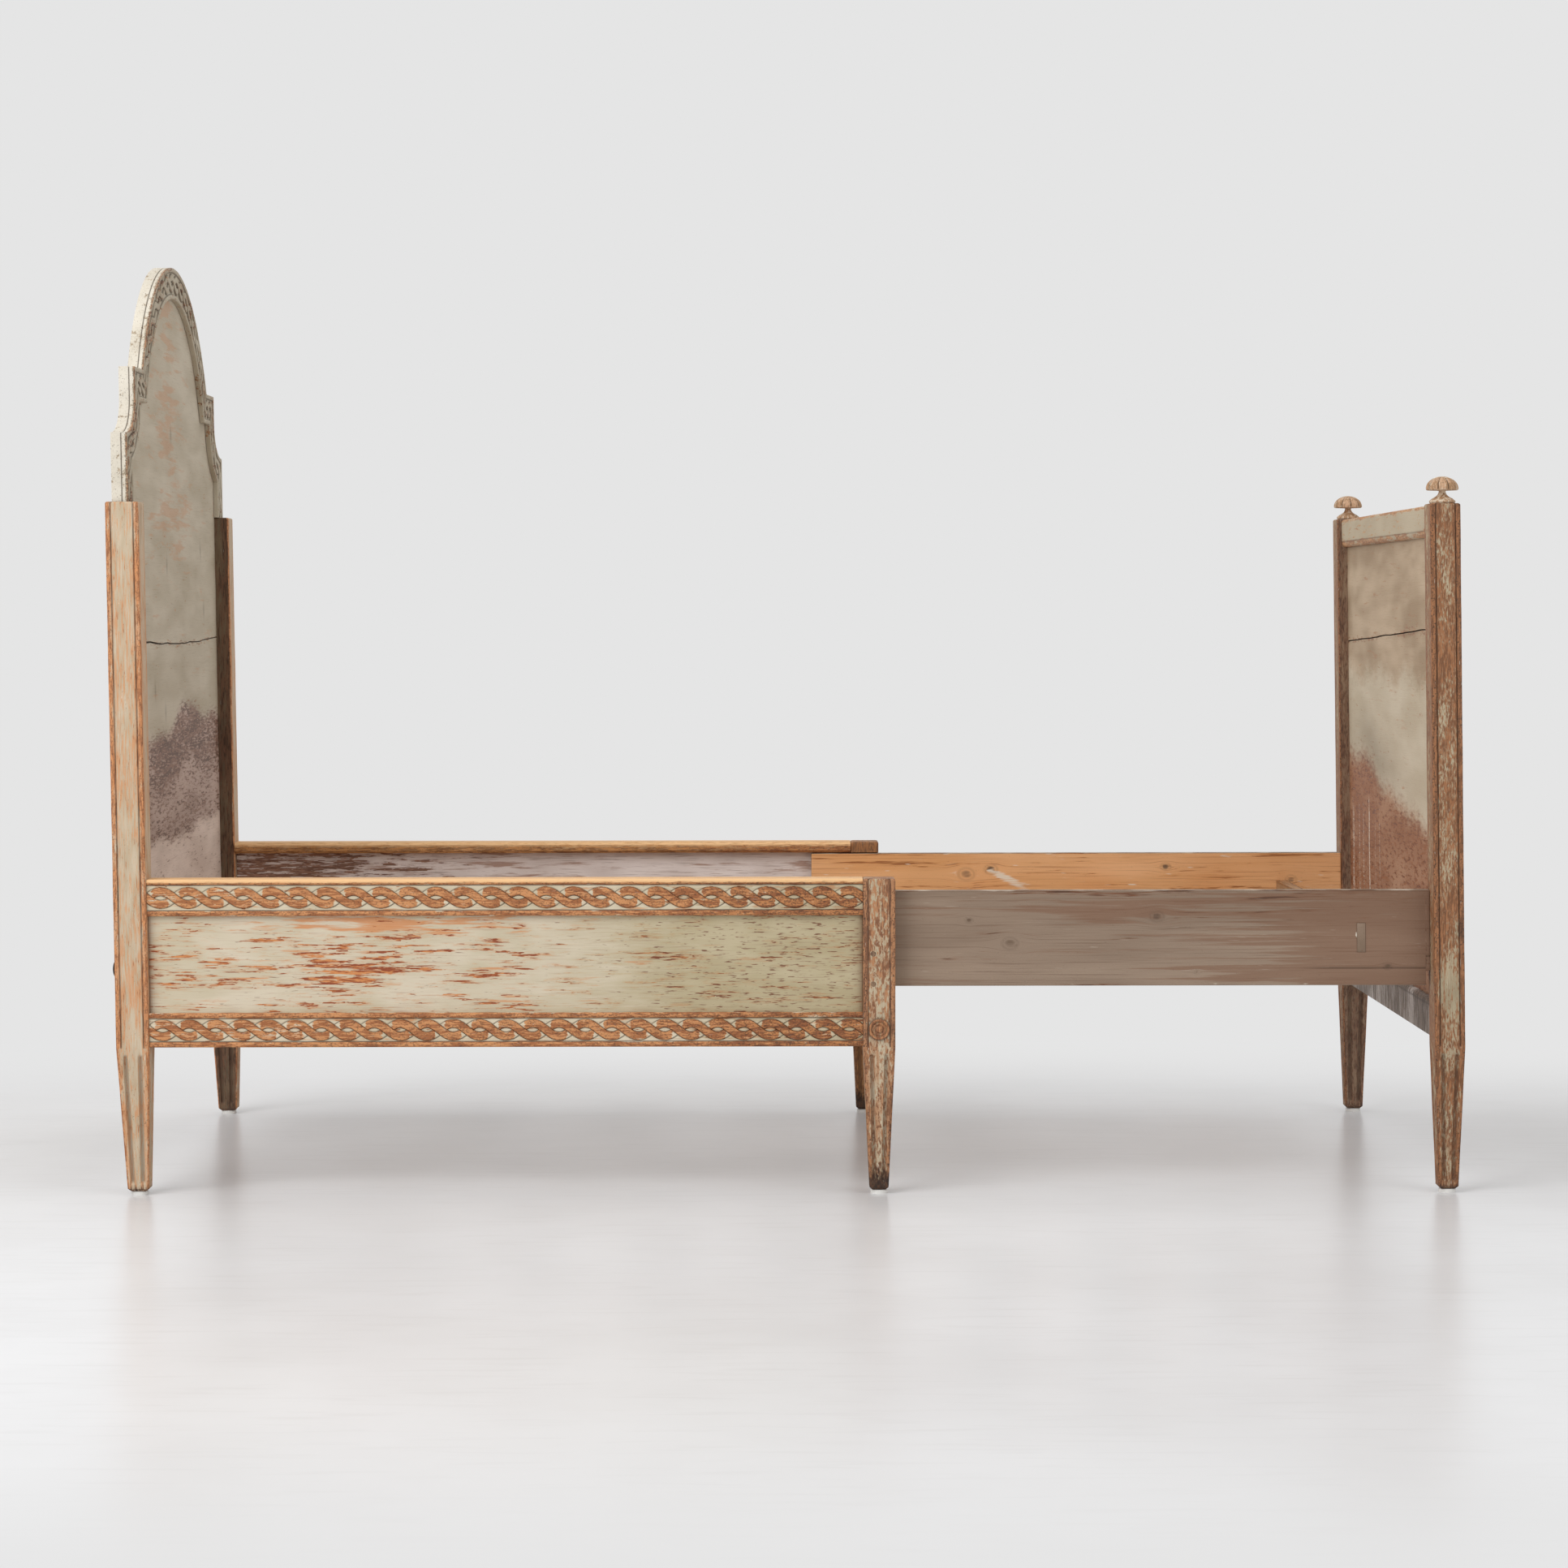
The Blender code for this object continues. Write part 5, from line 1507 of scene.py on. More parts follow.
@dataclass
class Headboard(PanelledEnd):
    """The arched, eared crest with its carved band, the cracked panel and the rail below it."""

    crest_finish: PaintedTimber
    panel_finish: PaintedTimber
    rail_finish: PaintedTimber
    crest_set: float = 0.015
    thickness: float = 0.024
    band: float = 0.048
    face_depth: float = 0.008
    bead: float = 0.0065
    sink: float = 0.0025
    quirk_set: float = 0.009
    quirk_half: float = 0.0012
    quirk_depth: float = 0.0016
    shoulder_set: float = 0.008
    shoulder_rise: float = 0.100
    sweep_rise: float = 0.055
    ear_rise: float = 0.045
    ear_set: float = 0.079
    arch_rise: float = 0.177
    arch_radius: float = 0.362
    rebate: float = 0.0360
    column: float = 0.0017
    stretches: tuple[float, ...] = (0.085, 0.115, 0.030, 0.070, 0.740)
    crossings: tuple[float, ...] = (0.0, 2.0, 4.4, 5.0, 7.0, 23.0)
    pitch: float = 0.044
    crack_z: float = 0.803
    crack_dip: float = 0.0042
    crack_ridge: float = 0.005
    crack_wander: float = 0.0012
    crack_gap: Pair = (0.0014, 0.0012)
    crack_under: float = 0.0006
    rail_half: float = 0.014
    stain_top: Pair = (0.70, 0.655)
    stain_foot: Pair = (0.485, 0.515)
    pale_foot: Pair = (0.545, 0.505)
    deep_stain: Pair = (0.56, 0.63)
    rubbed_column: Pair = (-0.04, 0.22)
    rubbed_rise: Pair = (0.80, 1.00)
    scar_spread: Pair = (0.006, 0.012)
    scars: tuple[Pair, ...] = ((0.262, 0.949), (-0.080, 0.921), (0.288, 0.853), (-0.018, 1.126),
                               (-0.211, 0.730), (-0.118, 0.695))
    carving: Guilloche = Guilloche(sway=0.0090, half_width=0.0054, relief=0.0024, cut=0.0014, line=0.0010,
                                   faint=0.2)

    def __post_init__(self) -> None:
        """Works out the heights of the ears and the arch."""
        self.shoulder = self.plan.half - self.shoulder_set
        self.ear_bottom = self.plan.head_post_top + self.shoulder_rise + self.sweep_rise
        self.ear_top = self.ear_bottom + self.ear_rise
        self.arch_centre = self.ear_top + self.arch_rise - self.arch_radius
        self.face = self.plan.head_front - self.crest_set
        self.middle = self.face - self.face_depth - self.plan.clear - self.plan.panel_thickness / 2

    def shares(self, length: float) -> Array:
        """Spreads stations over a stretch of the outline, without its end.

        Args:
            length: the stretch's length.

        Returns:
            The stations' shares of the stretch.
        """
        count = round(length / self.column)
        return (np.arange(count) / count)[:, None]

    def outline(self, inset: Array) -> tuple[Array, Array, Array]:
        """Follows the crest at every inset: a rise, a hollow quarter ellipse, a square ear, an arc, and back.

        Args:
            inset: the distances in from the outer edge.

        Returns:
            y and z for each station and inset, and each station's place in the carving, in crossings.
        """
        sweep_y, sweep_z = self.ear_set + inset, self.sweep_rise + inset
        ear_z, radius = self.ear_top - inset, self.arch_radius - inset
        start = np.arccos(inset / sweep_y)
        stop = np.arcsin(np.maximum(0.0, self.ear_bottom - ear_z) / sweep_z)
        spring = np.arccos((ear_z - self.arch_centre) / radius)
        base = np.full_like(inset, self.plan.head_post_top + self.plan.clear)
        shares = [self.shares(length) for length in self.stretches]
        rise, sweep, riser, flat, arch = shares
        angle = start + (stop - start) * sweep
        bend = spring * (1.0 - 2.0 * arch)
        turn_y, turn_z = self.shoulder - sweep_y * np.cos(stop), self.ear_bottom - sweep_z * np.sin(stop)
        hollow_z = self.ear_bottom - sweep_z * np.sin(start)
        half_y = np.concatenate([
            self.shoulder - inset + 0.0 * rise, self.shoulder - sweep_y * np.cos(angle), turn_y + 0.0 * riser,
            turn_y + (radius * np.sin(spring) - turn_y) * flat])
        half_z = np.concatenate([
            base + (hollow_z - base) * rise, self.ear_bottom - sweep_z * np.sin(angle),
            turn_z + (ear_z - turn_z) * riser, ear_z + 0.0 * flat])
        runs = [a + (b - a) * run for a, b, run in zip(self.crossings, self.crossings[1:], shares)]
        half_along, total = np.concatenate(runs[:4]), sum(self.crossings[-2:])
        y = np.concatenate([half_y, radius * np.sin(bend), -radius * np.sin(spring)[None], -half_y[::-1]])
        z = np.concatenate([half_z, self.arch_centre + radius * np.cos(bend), ear_z[None], half_z[::-1]])
        along = np.concatenate([half_along, runs[4], [self.crossings[-1:]], total - half_along[::-1]])
        return y, z, along

    def crest(self) -> Skin:
        """Carries the crest's section along its outline and carves the twist into its band.

        Returns:
            The upright crest.
        """
        ease = self.sink / 2
        dome = np.linspace(0.0, math.pi, 9)
        bead = np.stack([self.bead * (1.0 - np.cos(dome)) / 2, ease * (1.0 - np.sin(dome))], axis=1)
        inner_bead = bead + np.array([self.band - self.bead, 0.0])
        quirk = [(0.0, self.quirk_set + self.quirk_half), (self.quirk_depth, self.quirk_set),
                 (0.0, self.quirk_set - self.quirk_half)]
        edge = dense(np.array([(0.0, self.thickness), *quirk, tuple(bead[0])]), 0.002)[:-1]
        slope = self.bead + ease
        across = np.linspace(slope, self.band - slope, 38)
        ground = np.stack([across, np.full_like(across, self.sink)], axis=1)
        rear = [tuple(inner_bead[-1]), (self.band, self.face_depth), (self.rebate, self.face_depth),
                (self.rebate, self.thickness), (0.0, self.thickness)]
        rest = dense(np.array(rear), 0.003)[1:-1]
        rows = np.concatenate([edge, bead, ground, inner_bead, rest])
        y, z, along = self.outline(rows[:, 0])
        side = slice(0, len(edge))
        band = slice(len(edge) + len(bead), len(edge) + len(bead) + len(ground))
        carved = self.carving.carve(along, across - self.band / 2, self.pitch)
        sink = np.tile(rows[:, 1], (len(y), 1))
        wear, line, cream = (np.zeros_like(sink) for _ in range(3))
        sink[:, band] -= carved["height"]
        wear[:, side.stop:band.start] = 0.30 * np.sin(dome)
        wear[:, band] = 0.20 * carved["ribbon"]
        wear[:, band.stop:band.stop + len(bead)] = 0.15 * np.sin(dome)
        wear[:, side.stop - 1:side.stop + 2] = 0.95
        line[:, band] = carved["line"]
        # Painted shade at the band's edges and in the quirk of the outer edge
        line[:, [band.start - 1, band.start, band.stop - 1, band.stop]] = 0.6
        line[:, side] = 0.9 * (edge[:, 0] > HAIR)
        # Painted highlight: the outer edge faces take the pale cream coat
        cream[:, side] = 1.0
        return Skin(surface(self.face - sink, y, z), {"wear": wear, "line": line, "stain": cream})

    def panel_top(self, y: Array) -> Array:
        """Follows the upper edge of the panel, hidden in the crest's rebate.

        Args:
            y: places across the bed.

        Returns:
            The height of the edge.
        """
        inset = self.rebate + self.plan.clear
        out = np.abs(y)
        radius, ear = self.arch_radius - inset, self.ear_top - inset
        arch = self.arch_centre + np.sqrt(np.maximum(radius ** 2 - out ** 2, 0.0))
        share = np.clip((self.shoulder - out) / (self.ear_set + inset), 0.0, 1.0)
        sweep = self.ear_bottom - (self.sweep_rise + inset) * np.sqrt(1.0 - share ** 2)
        return np.where(out > self.shoulder - self.ear_set - inset, sweep, np.maximum(arch, ear))

    def board(self, edges: BoardEdges) -> Skin:
        """Marks a board of the panel: a ragged stain low down, a paler foot, scars, and rubbed patches above.

        Args:
            edges: the board's edges.

        Returns:
            The upright board.
        """
        skin, front, back = self.panel_board(self.middle, edges)
        across, z = skin.points[..., 1], skin.points[..., 2]
        tilt = across / self.plan.half
        flame = 0.030 * waver(across, 0.80, 4.4) + 0.025 * tilt
        foot = 0.010 * waver(across, 0.55, 6.1) + 0.012 * tilt
        band = smooth_step(*self.stain_top, z - flame) * smooth_step(*self.stain_foot, z - foot)
        deep = smooth_step(*self.deep_stain, z - 0.5 * flame)
        column = bump(across, *self.rubbed_column) * smooth_step(*self.rubbed_rise, z)
        scar = sum(Mark(*place, *self.scar_spread).at(across, z) for place in self.scars)
        skin.paint["stain"] = 0.95 * band * front
        skin.paint["face"] = smooth_step(*self.pale_foot, z - foot) * front
        skin.paint["rub"] = 0.50 * column * front + 0.35 * back
        skin.paint["wear"] += 0.20 * back + 0.45 * deep * band * front
        skin.paint["line"] = skin.paint["line"] + 0.45 * scar * front
        return skin

    def build(self) -> None:
        """Seats the crest, the two boards of the panel and the rail below them."""
        plan = self.plan
        self.seat("carved_crest", self.crest(), self.crest_finish, Slot.PAINT, "headboard_crest")
        step = self.shoulder - self.ear_set - self.rebate - plan.clear
        steps = [sign * step + nudge for sign in (1, -1) for nudge in (-plan.clear, plan.clear)]
        y = np.unique(np.concatenate([np.linspace(-plan.panel_half, plan.panel_half, 150), steps]))
        bottom = np.full_like(y, plan.groove_bottom)
        dip = self.crack_dip * (2.0 * (y / plan.panel_half) ** 2 - 1.0)
        crack = self.crack_z + dip + self.crack_wander * waver(y, 0.2, 2.2)
        gap = self.crack_gap[0] + self.crack_gap[1] * smooth_step(0.0, -plan.panel_half, y)
        lower = BoardEdges(y, bottom, crack - self.crack_under, (0.0, self.crack_ridge))
        upper = BoardEdges(y, crack + gap, self.panel_top(y), (self.crack_ridge, 0.0))
        for label, skin in (("lower", self.board(lower)), ("upper", self.board(upper))):
            node = f"headboard_panel_{label}"
            self.seat(f"head_panel_board_{label}", skin, self.panel_finish, Slot.BOARD, node)
        rail = self.cross_rail(self.middle, self.rail_half, plan.end_rail_bottom, plan.end_rail_top, True)
        self.seat("head_tie_rail", rail, self.rail_finish, Slot.PAINT, "head_bottom_rail")


@dataclass
class Footboard(PanelledEnd):
    """The low end: a moulded top rail, a cracked panel, a bottom rail and two lobed finials."""

    top_finish: PaintedTimber
    panel_finish: PaintedTimber
    bottom_finish: PaintedTimber
    finial_finish: PaintedTimber
    rail_half: float = 0.015
    top_rail_drop: float = 0.0015
    top_rail_height: float = 0.046
    crack_z: float = 0.809
    crack_fall: float = 0.029
    crack_ridge: float = 0.004
    crack_wander: float = 0.0008
    crack_gap: Pair = (0.0004, 0.0016)
    red_z: float = 0.565
    red_tilt: float = 0.060
    red_wander: float = 0.020
    red_fade: float = 0.045
    pale_board: Pair = (0.79, 0.70)
    runs_z: Pair = (0.60, 0.50)
    smudge: Mark = Mark(0.16, 0.035, 0.20, 0.040)
    dome_radius: float = 0.0235
    dome_height: float = 0.0207
    rim: float = 0.003
    neck_radius: float = 0.005
    neck_height: float = 0.0115
    neck_hollow: float = 2.5
    base_radius: float = 0.019
    base_height: float = 0.007
    base_shape: tuple[Pair, ...] = ((0.0025, 1.0), (0.0045, 0.97), (0.0056, 0.87), (0.007, 0.80))
    base_ease: float = 0.0012
    under_shape: tuple[Pair, ...] = ((0.0, 0.26), (0.0007, 0.92), (0.0016, 0.985), (0.003, 1.0))
    lobes: int = 9
    lobe_depth: float = 0.0022

    def board(self, edges: BoardEdges, lower: bool) -> Skin:
        """Marks a board of the panel: below the crack paler, and rubbed to red timber low down.

        Args:
            edges: the board's edges.
            lower: whether it is the lower board.

        Returns:
            The upright board.
        """
        skin, back, front = self.panel_board(self.plan.foot_centre, edges)
        across, z = skin.points[..., 1], skin.points[..., 2]
        tilt = self.red_tilt * across / self.plan.half
        edge = self.red_z + tilt + self.red_wander * waver(across, 0.60, 3.3)
        runs = dents(across, 0.055, 8.2) * smooth_step(0.0, 0.2, across)
        pale = smooth_step(*self.pale_board, z + 0.02 * waver(across, 0.3, 1.2))
        skin.paint["stain"] = smooth_step(edge + self.red_fade, edge - self.red_fade, z) * front
        skin.paint["face"] = lower * pale * front
        skin.paint["pale"] = 0.90 * runs * smooth_step(*self.runs_z, z) * front
        skin.paint["line"] = skin.paint["line"] + 0.32 * self.smudge.at(across, z - edge) * front
        skin.paint["rub"] = 0.35 * back
        skin.paint["wear"] += 0.15 * back
        return skin

    def finial(self) -> Skin:
        """Turns a mushroom: a stepped base, a hollow neck, a flat underside and a lobed quarter ellipse.

        Returns:
            The upright finial on the right-hand foot post.
        """
        plan = self.plan
        neck_z = self.base_height + self.neck_height
        rim_z = neck_z + self.rim
        base = [(plan.clear, self.base_radius - self.base_ease),
                *((rise, self.base_radius * share) for rise, share in self.base_shape)]
        t = np.linspace(0.1, 0.95, 12)
        flare = base[-1][1] - self.neck_radius
        neck_radius = self.neck_radius + flare * (1.0 - t) ** self.neck_hollow
        neck = np.stack([self.base_height + self.neck_height * t, neck_radius], axis=1)
        under = [(neck_z + rise, self.dome_radius * share) for rise, share in self.under_shape]
        angle = np.linspace(0.0, math.pi / 2, 22)[1:-1]
        dome_z = rim_z + (self.dome_height - self.rim) * np.sin(angle)
        dome = np.stack([dome_z, self.dome_radius * np.cos(angle)], axis=1)
        rows = dense(np.concatenate([base, neck, under, dome]), 0.0016)
        share = smooth_step(neck_z + 0.0004, rim_z, rows[:, 0]) * np.sqrt(rows[:, 1] / self.dome_radius)
        centre = (plan.foot_centre, plan.post_depth / 2 - plan.half, plan.foot_post_top)
        skin = turned(rows, centre, (0.0, 0.0, 1.0), 18 * self.lobes, self.lobe_depth * share, self.lobes)
        skin.paint["wear"] = np.maximum(skin.paint["wear"], 0.5)
        return skin

    def build(self) -> None:
        """Seats rails, panel boards and finials."""
        plan = self.plan
        top = plan.foot_post_top - self.top_rail_drop
        bottom = top - self.top_rail_height
        high = self.cross_rail(plan.foot_centre, self.rail_half, bottom, top, False)
        low = self.cross_rail(plan.foot_centre, self.rail_half, plan.end_rail_bottom, plan.end_rail_top, True)
        self.seat("footboard_top_rail", high, self.top_finish, Slot.PAINT, "foot_top_rail")
        self.seat("footboard_bottom_rail", low, self.bottom_finish, Slot.PAINT, "foot_bottom_rail")
        y = np.linspace(-plan.panel_half, plan.panel_half, 140)
        crack = self.crack_z - self.crack_fall * y + self.crack_wander * waver(y, 0.3, 4.1)
        low_edge = np.full_like(y, plan.groove_bottom)
        high_edge = np.full_like(y, bottom + plan.panel_groove - plan.clear)
        lower = BoardEdges(y, low_edge, crack - self.crack_gap[0], (0.0, self.crack_ridge))
        upper = BoardEdges(y, crack + self.crack_gap[1], high_edge, (self.crack_ridge, 0.0))
        for label, skin in (("lower", self.board(lower, True)), ("upper", self.board(upper, False))):
            self.seat(f"foot_panel_board_{label}", skin, self.panel_finish, Slot.BOARD, f"foot_panel_{label}")
        self.seat_pair("lobed_finial_{}", self.finial(), self.finial_finish, Slot.PAINT, "finial_{}")


# Sliding boards and what carries them

@dataclass(frozen=True)
class Knot:
    """A knot in a board, by its place and radius."""

    x: float
    z: float
    radius: float


@dataclass
class Slatted(SubAssembly):
    """What both sections share under the mattress: slats that lie evenly from side to side."""

    pine: PaintedTimber
    cross_pine: PaintedTimber
    _: KW_ONLY
    slat_width: float = 0.090
    slat_thickness: float = 0.018
    slat_play: float = 0.003

    def lay_slats(self, count: int, reach: Pair, bottom: float) -> None:
        """Lays evenly spaced slats.

        Args:
            count: the number of slats.
            reach: the stretch of x that they share.
            bottom: the height of their undersides.
        """
        across = self.plan.half - self.plan.board_back_depth - self.slat_play
        pitch = (reach[1] - reach[0]) / count
        for number in range(count):
            back = reach[0] + pitch * (number + 0.5) - self.slat_width / 2
            high = (back + self.slat_width, across, bottom + self.slat_thickness)
            slat = Bar((back, -across, bottom), high, Grain.CROSSWISE, step=0.008, across_step=0.006)
            name, node = (f"{self.half.label}_{word}_{number + 1}" for word in ("pine_slat", "slat"))
            self.seat(name, slat.skin(), self.cross_pine, Slot.PINE, node)


@dataclass
class PullOut(Slatted):
    """The sliding boards, the cross stretcher between them and their slat ledgers and slats."""

    board_finish: PaintedTimber
    notch_length: float = 0.007
    notch_height: float = 0.021
    nut_sink: float = 0.0027
    stretcher_back: float = 0.1015
    tenon_half_x: float = 0.0060
    tenon_half_z: float = 0.0210
    tenon_proud: float = 0.0004
    stretcher_half_x: float = 0.009
    stretcher_half_z: float = 0.023
    slat_pass: float = 0.008
    ledger_height: float = 0.020
    ledger_width: float = 0.024
    ledger_gap: float = 0.012
    slats: int = 4
    rim_line: float = 0.0012
    cut_line: float = 0.0008
    plane_wander: float = 0.0003
    split_z: float = 0.3275
    split_x: Pair = (0.74, 0.80)
    split_depth: float = 0.0006
    strip_drop: float = 0.0005
    red: Mark = Mark(0.47, 0.412, 0.14, 0.018)
    worn_end: Pair = (0.45, 0.95)
    chip: Mark = Mark(0.001, 0.004, 0.002, 0.004)
    smear: Mark = Mark(0.372, 0.398, 0.018, 0.022)
    smear_slant: float = 1.6
    smear_z: float = 0.40
    foot_reach: float = 0.004
    ridge_reach: float = 0.0022
    knots: dict[Side, tuple[Knot, ...]] = field(default_factory=lambda: {
        Side.RIGHT: (Knot(0.326, 0.364, 0.0085), Knot(0.542, 0.403, 0.0075), Knot(0.266, 0.398, 0.004),
                     Knot(0.880, 0.330, 0.005), Knot(0.600, 0.322, 0.003)),
        Side.LEFT: (Knot(0.306, 0.406, 0.010), Knot(0.348, 0.414, 0.008), Knot(0.645, 0.418, 0.006),
                    Knot(0.858, 0.396, 0.007), Knot(0.480, 0.350, 0.009))})

    @property
    def stretcher_x(self) -> float:
        """The middle of the cross stretcher, upright."""
        return self.plan.foot_back - self.stretcher_back

    def bar(self) -> Bar:
        """Lays a board out, with close points where nut, notch, tenon and split are cut.

        Returns:
            The uncut board on the right-hand side.
        """
        plan = self.plan
        nut = plan.nut_edges(plan.foot_back - plan.nut_back, plan.board_middle)
        outs = [(sign, out) for sign in (-1, 1) for out in (0.0, self.rim_line)]
        rims = [self.stretcher_x + sign * (self.tenon_half_x + out) for sign, out in outs]
        edges = [plan.board_middle + sign * (self.tenon_half_z + out) for sign, out in outs]
        split = [self.split_z + out for out in (-self.rim_line, 0.0, self.rim_line)]
        return Bar((plan.board_end, plan.board_front_depth - plan.half, plan.board_bottom),
                   (plan.foot_back - plan.clear, plan.board_back_depth - plan.half, plan.board_top),
                   Grain.LENGTHWISE, arris=0.0012, step=0.0028, across_step=0.0022,
                   along_marks=(*nut[0], plan.foot_back - self.notch_length, *rims),
                   across_marks=(*nut[1], *edges, *split))

    def board(self, side: Side) -> Skin:
        """Cuts a board with its end notch, let-in nut and tenon's outline, and parts its grain at knots.

        Args:
            side: the side of the bed whose knots and smears it has.

        Returns:
            The upright board, drawn on the right-hand side.
        """
        plan, bar = self.plan, self.bar()
        near, far = side is Side.RIGHT, side is Side.LEFT
        skin = bar.skin()
        x, z = skin.points[..., 0].copy(), skin.points[..., 2].copy()
        outer, inner = bar.ring.facing(0, -1), bar.ring.facing(0, 1)
        flow, dark, rings = (np.zeros_like(x) for _ in range(3))
        for knot in self.knots[side]:
            away = np.hypot((x - knot.x) * 0.75, z - knot.z) / knot.radius
            flow -= knot.radius * np.tanh(1.5 * (z - knot.z) / knot.radius) * bump(away, 0.0, 2.2)
            dark += np.exp(-away ** 4)
            rings += 0.25 * bump(away, 1.0, 0.18)
        tenon_x = np.abs(x - self.stretcher_x) - self.tenon_half_x
        tenon_z = np.abs(z - plan.board_middle) - self.tenon_half_z
        tenon = bump(np.maximum(tenon_x, tenon_z), 0.0, self.cut_line) * outer
        parted = smooth_step(*self.split_x, x) * outer * near
        fissure = bump(z, self.split_z, self.cut_line) * parted
        strip = parted * (z < self.split_z)
        nut = plan.nut_edges(plan.foot_back - plan.nut_back, plan.board_middle)
        wander = self.plane_wander * outer * (1.0 + waver(z * 0.8, 0.09, 2.0))
        skin.points[..., 1] -= self.nut_sink * within_edges(x, z, nut) * inner
        skin.points[..., 1] += self.split_depth * fissure + self.strip_drop * strip + wander
        shorter = (plan.board_height - self.notch_height) / plan.board_height
        notch = np.where(x > plan.foot_back - self.notch_length, shorter, 1.0)
        skin.points[..., 2] = plan.board_top - (plan.board_top - z) * notch
        chip = self.chip.at(tenon_x, z - plan.board_middle) * (x < self.stretcher_x)
        foot = np.exp(-(z - plan.board_bottom) / self.foot_reach) * dents(x, 0.07, 1.4)
        ridge = np.exp(-(plan.board_top - z) / self.ridge_reach) * (0.75 + 0.35 * waver(x, 0.12, 2.6))
        smear = self.smear.at(x + self.smear_slant * (z - self.smear_z), z)
        crossed = waver(x + 6.0 * z, 0.09, 5.0) * waver(z - 0.3 * x, 0.05, 2.0)
        scratch = np.clip(crossed - 0.08, 0.0, 1.0)
        rub = 0.16 + 0.75 * self.red.at(x, z) + 0.90 * smooth_step(*self.worn_end, x) + 0.5 * strip
        pale = (0.7 * foot + 0.8 * chip) * outer + 0.5 * ridge + (0.66 * smear + scratch) * inner * far
        skin.paint = {
            "wear": 0.3 * skin.paint["wear"], "flow": flow, "stain": 0.55 * np.clip(dark, 0.0, 1.0),
            "line": np.clip(0.75 * tenon + 0.8 * fissure + rings, 0.0, 1.0), "face": inner,
            "rub": rub * outer, "pale": pale}
        return skin

    def stretcher(self) -> Skin:
        """Carries the stretcher across the bed, stepped down to the tenons whose ends show on the boards.

        Returns:
            The upright stretcher.
        """
        plan, ease = self.plan, self.tenon_proud
        shoulder = plan.half - plan.board_back_depth - plan.clear
        end = plan.half - plan.board_front_depth + self.tenon_proud
        body = np.linspace(-shoulder, shoulder, 90)
        tip = np.array([shoulder + HAIR, end - ease, end])
        y = np.concatenate([-tip[::-1], body, tip])[:, None]
        slim = np.abs(y) > shoulder
        drawn = np.where(np.abs(y) > end - HAIR, ease, 0.0)
        half = np.where(slim, [self.tenon_half_x, self.tenon_half_z],
                        [self.stretcher_half_x, self.stretcher_half_z]) - drawn
        ring = RoundedRing.of(np.linspace(-1.0, 1.0, 6), np.linspace(-1.0, 1.0, 12), 2)
        flat = ring.at(half, 0.0008)
        wear = np.exp(-ring.edge_distance(half) / 0.003) * np.where(slim, 0.2, 1.0)
        points = surface(self.stretcher_x + flat[..., 0], y, plan.board_middle + flat[..., 1])
        return Skin(points, {"wear": wear, "stain": slim})

    def build(self) -> None:
        """Seats boards, stretcher, ledgers and slats."""
        plan = self.plan
        for side in Side:
            skin = self.board(side)
            own = skin if side is Side.RIGHT else skin.mirrored()
            name, node = f"pine_board_{side.label}", f"sliding_board_{side.label}"
            self.seat(name, own, self.board_finish, Slot.PINE, node)
        self.seat("tenoned_stretcher", self.stretcher(), self.cross_pine, Slot.PINE, "cross_stretcher")
        ledger_top = plan.board_bottom + self.slat_thickness + self.slat_pass + self.ledger_height
        slat_end = self.stretcher_x - self.stretcher_half_x - self.ledger_gap
        outer = plan.board_back_depth + plan.clear - plan.half
        ledger = Bar((plan.board_end, outer, ledger_top - self.ledger_height),
                     (slat_end, outer + self.ledger_width, ledger_top), Grain.LENGTHWISE)
        self.seat_pair("slat_rest_{}", ledger.skin(), self.pine, Slot.PINE, "slat_ledger_{}")
        self.lay_slats(self.slats, (plan.board_end, slat_end), ledger_top + plan.clear)


@dataclass
class SlideBed(Slatted):
    """What carries the boards and the slats in the head section: ledgers, a mid stretcher and slats."""

    ledger_height: float = 0.035
    ledger_width: float = 0.052
    stretcher_half_x: float = 0.014
    stretcher_height: float = 0.046
    slats: int = 5

    def build(self) -> None:
        """Seats ledgers, stretcher and slats."""
        plan = self.plan
        outer = plan.panel_back_depth + plan.clear - plan.half
        bottom = plan.ledger_top - self.ledger_height
        inner_corner = (plan.mid_back - plan.clear, outer + self.ledger_width, plan.ledger_top)
        ledger = Bar((plan.head_front + plan.clear, outer, bottom), inner_corner, Grain.LENGTHWISE)
        self.seat_pair("slide_rest_{}", ledger.skin(), self.pine, Slot.PINE, "slide_ledger_{}")
        top = bottom - plan.clear
        back, front = (plan.mid_centre + sign * self.stretcher_half_x for sign in (-1, 1))
        low = (back, -plan.between_posts, top - self.stretcher_height)
        stretcher = Bar(low, (front, plan.between_posts, top), Grain.CROSSWISE)
        self.seat("mid_tie_rail", stretcher.skin(), self.cross_pine, Slot.PINE, "mid_stretcher")
        self.lay_slats(self.slats, (plan.head_front, plan.mid_back), plan.ledger_top + plan.clear)


# Ironwork and felt

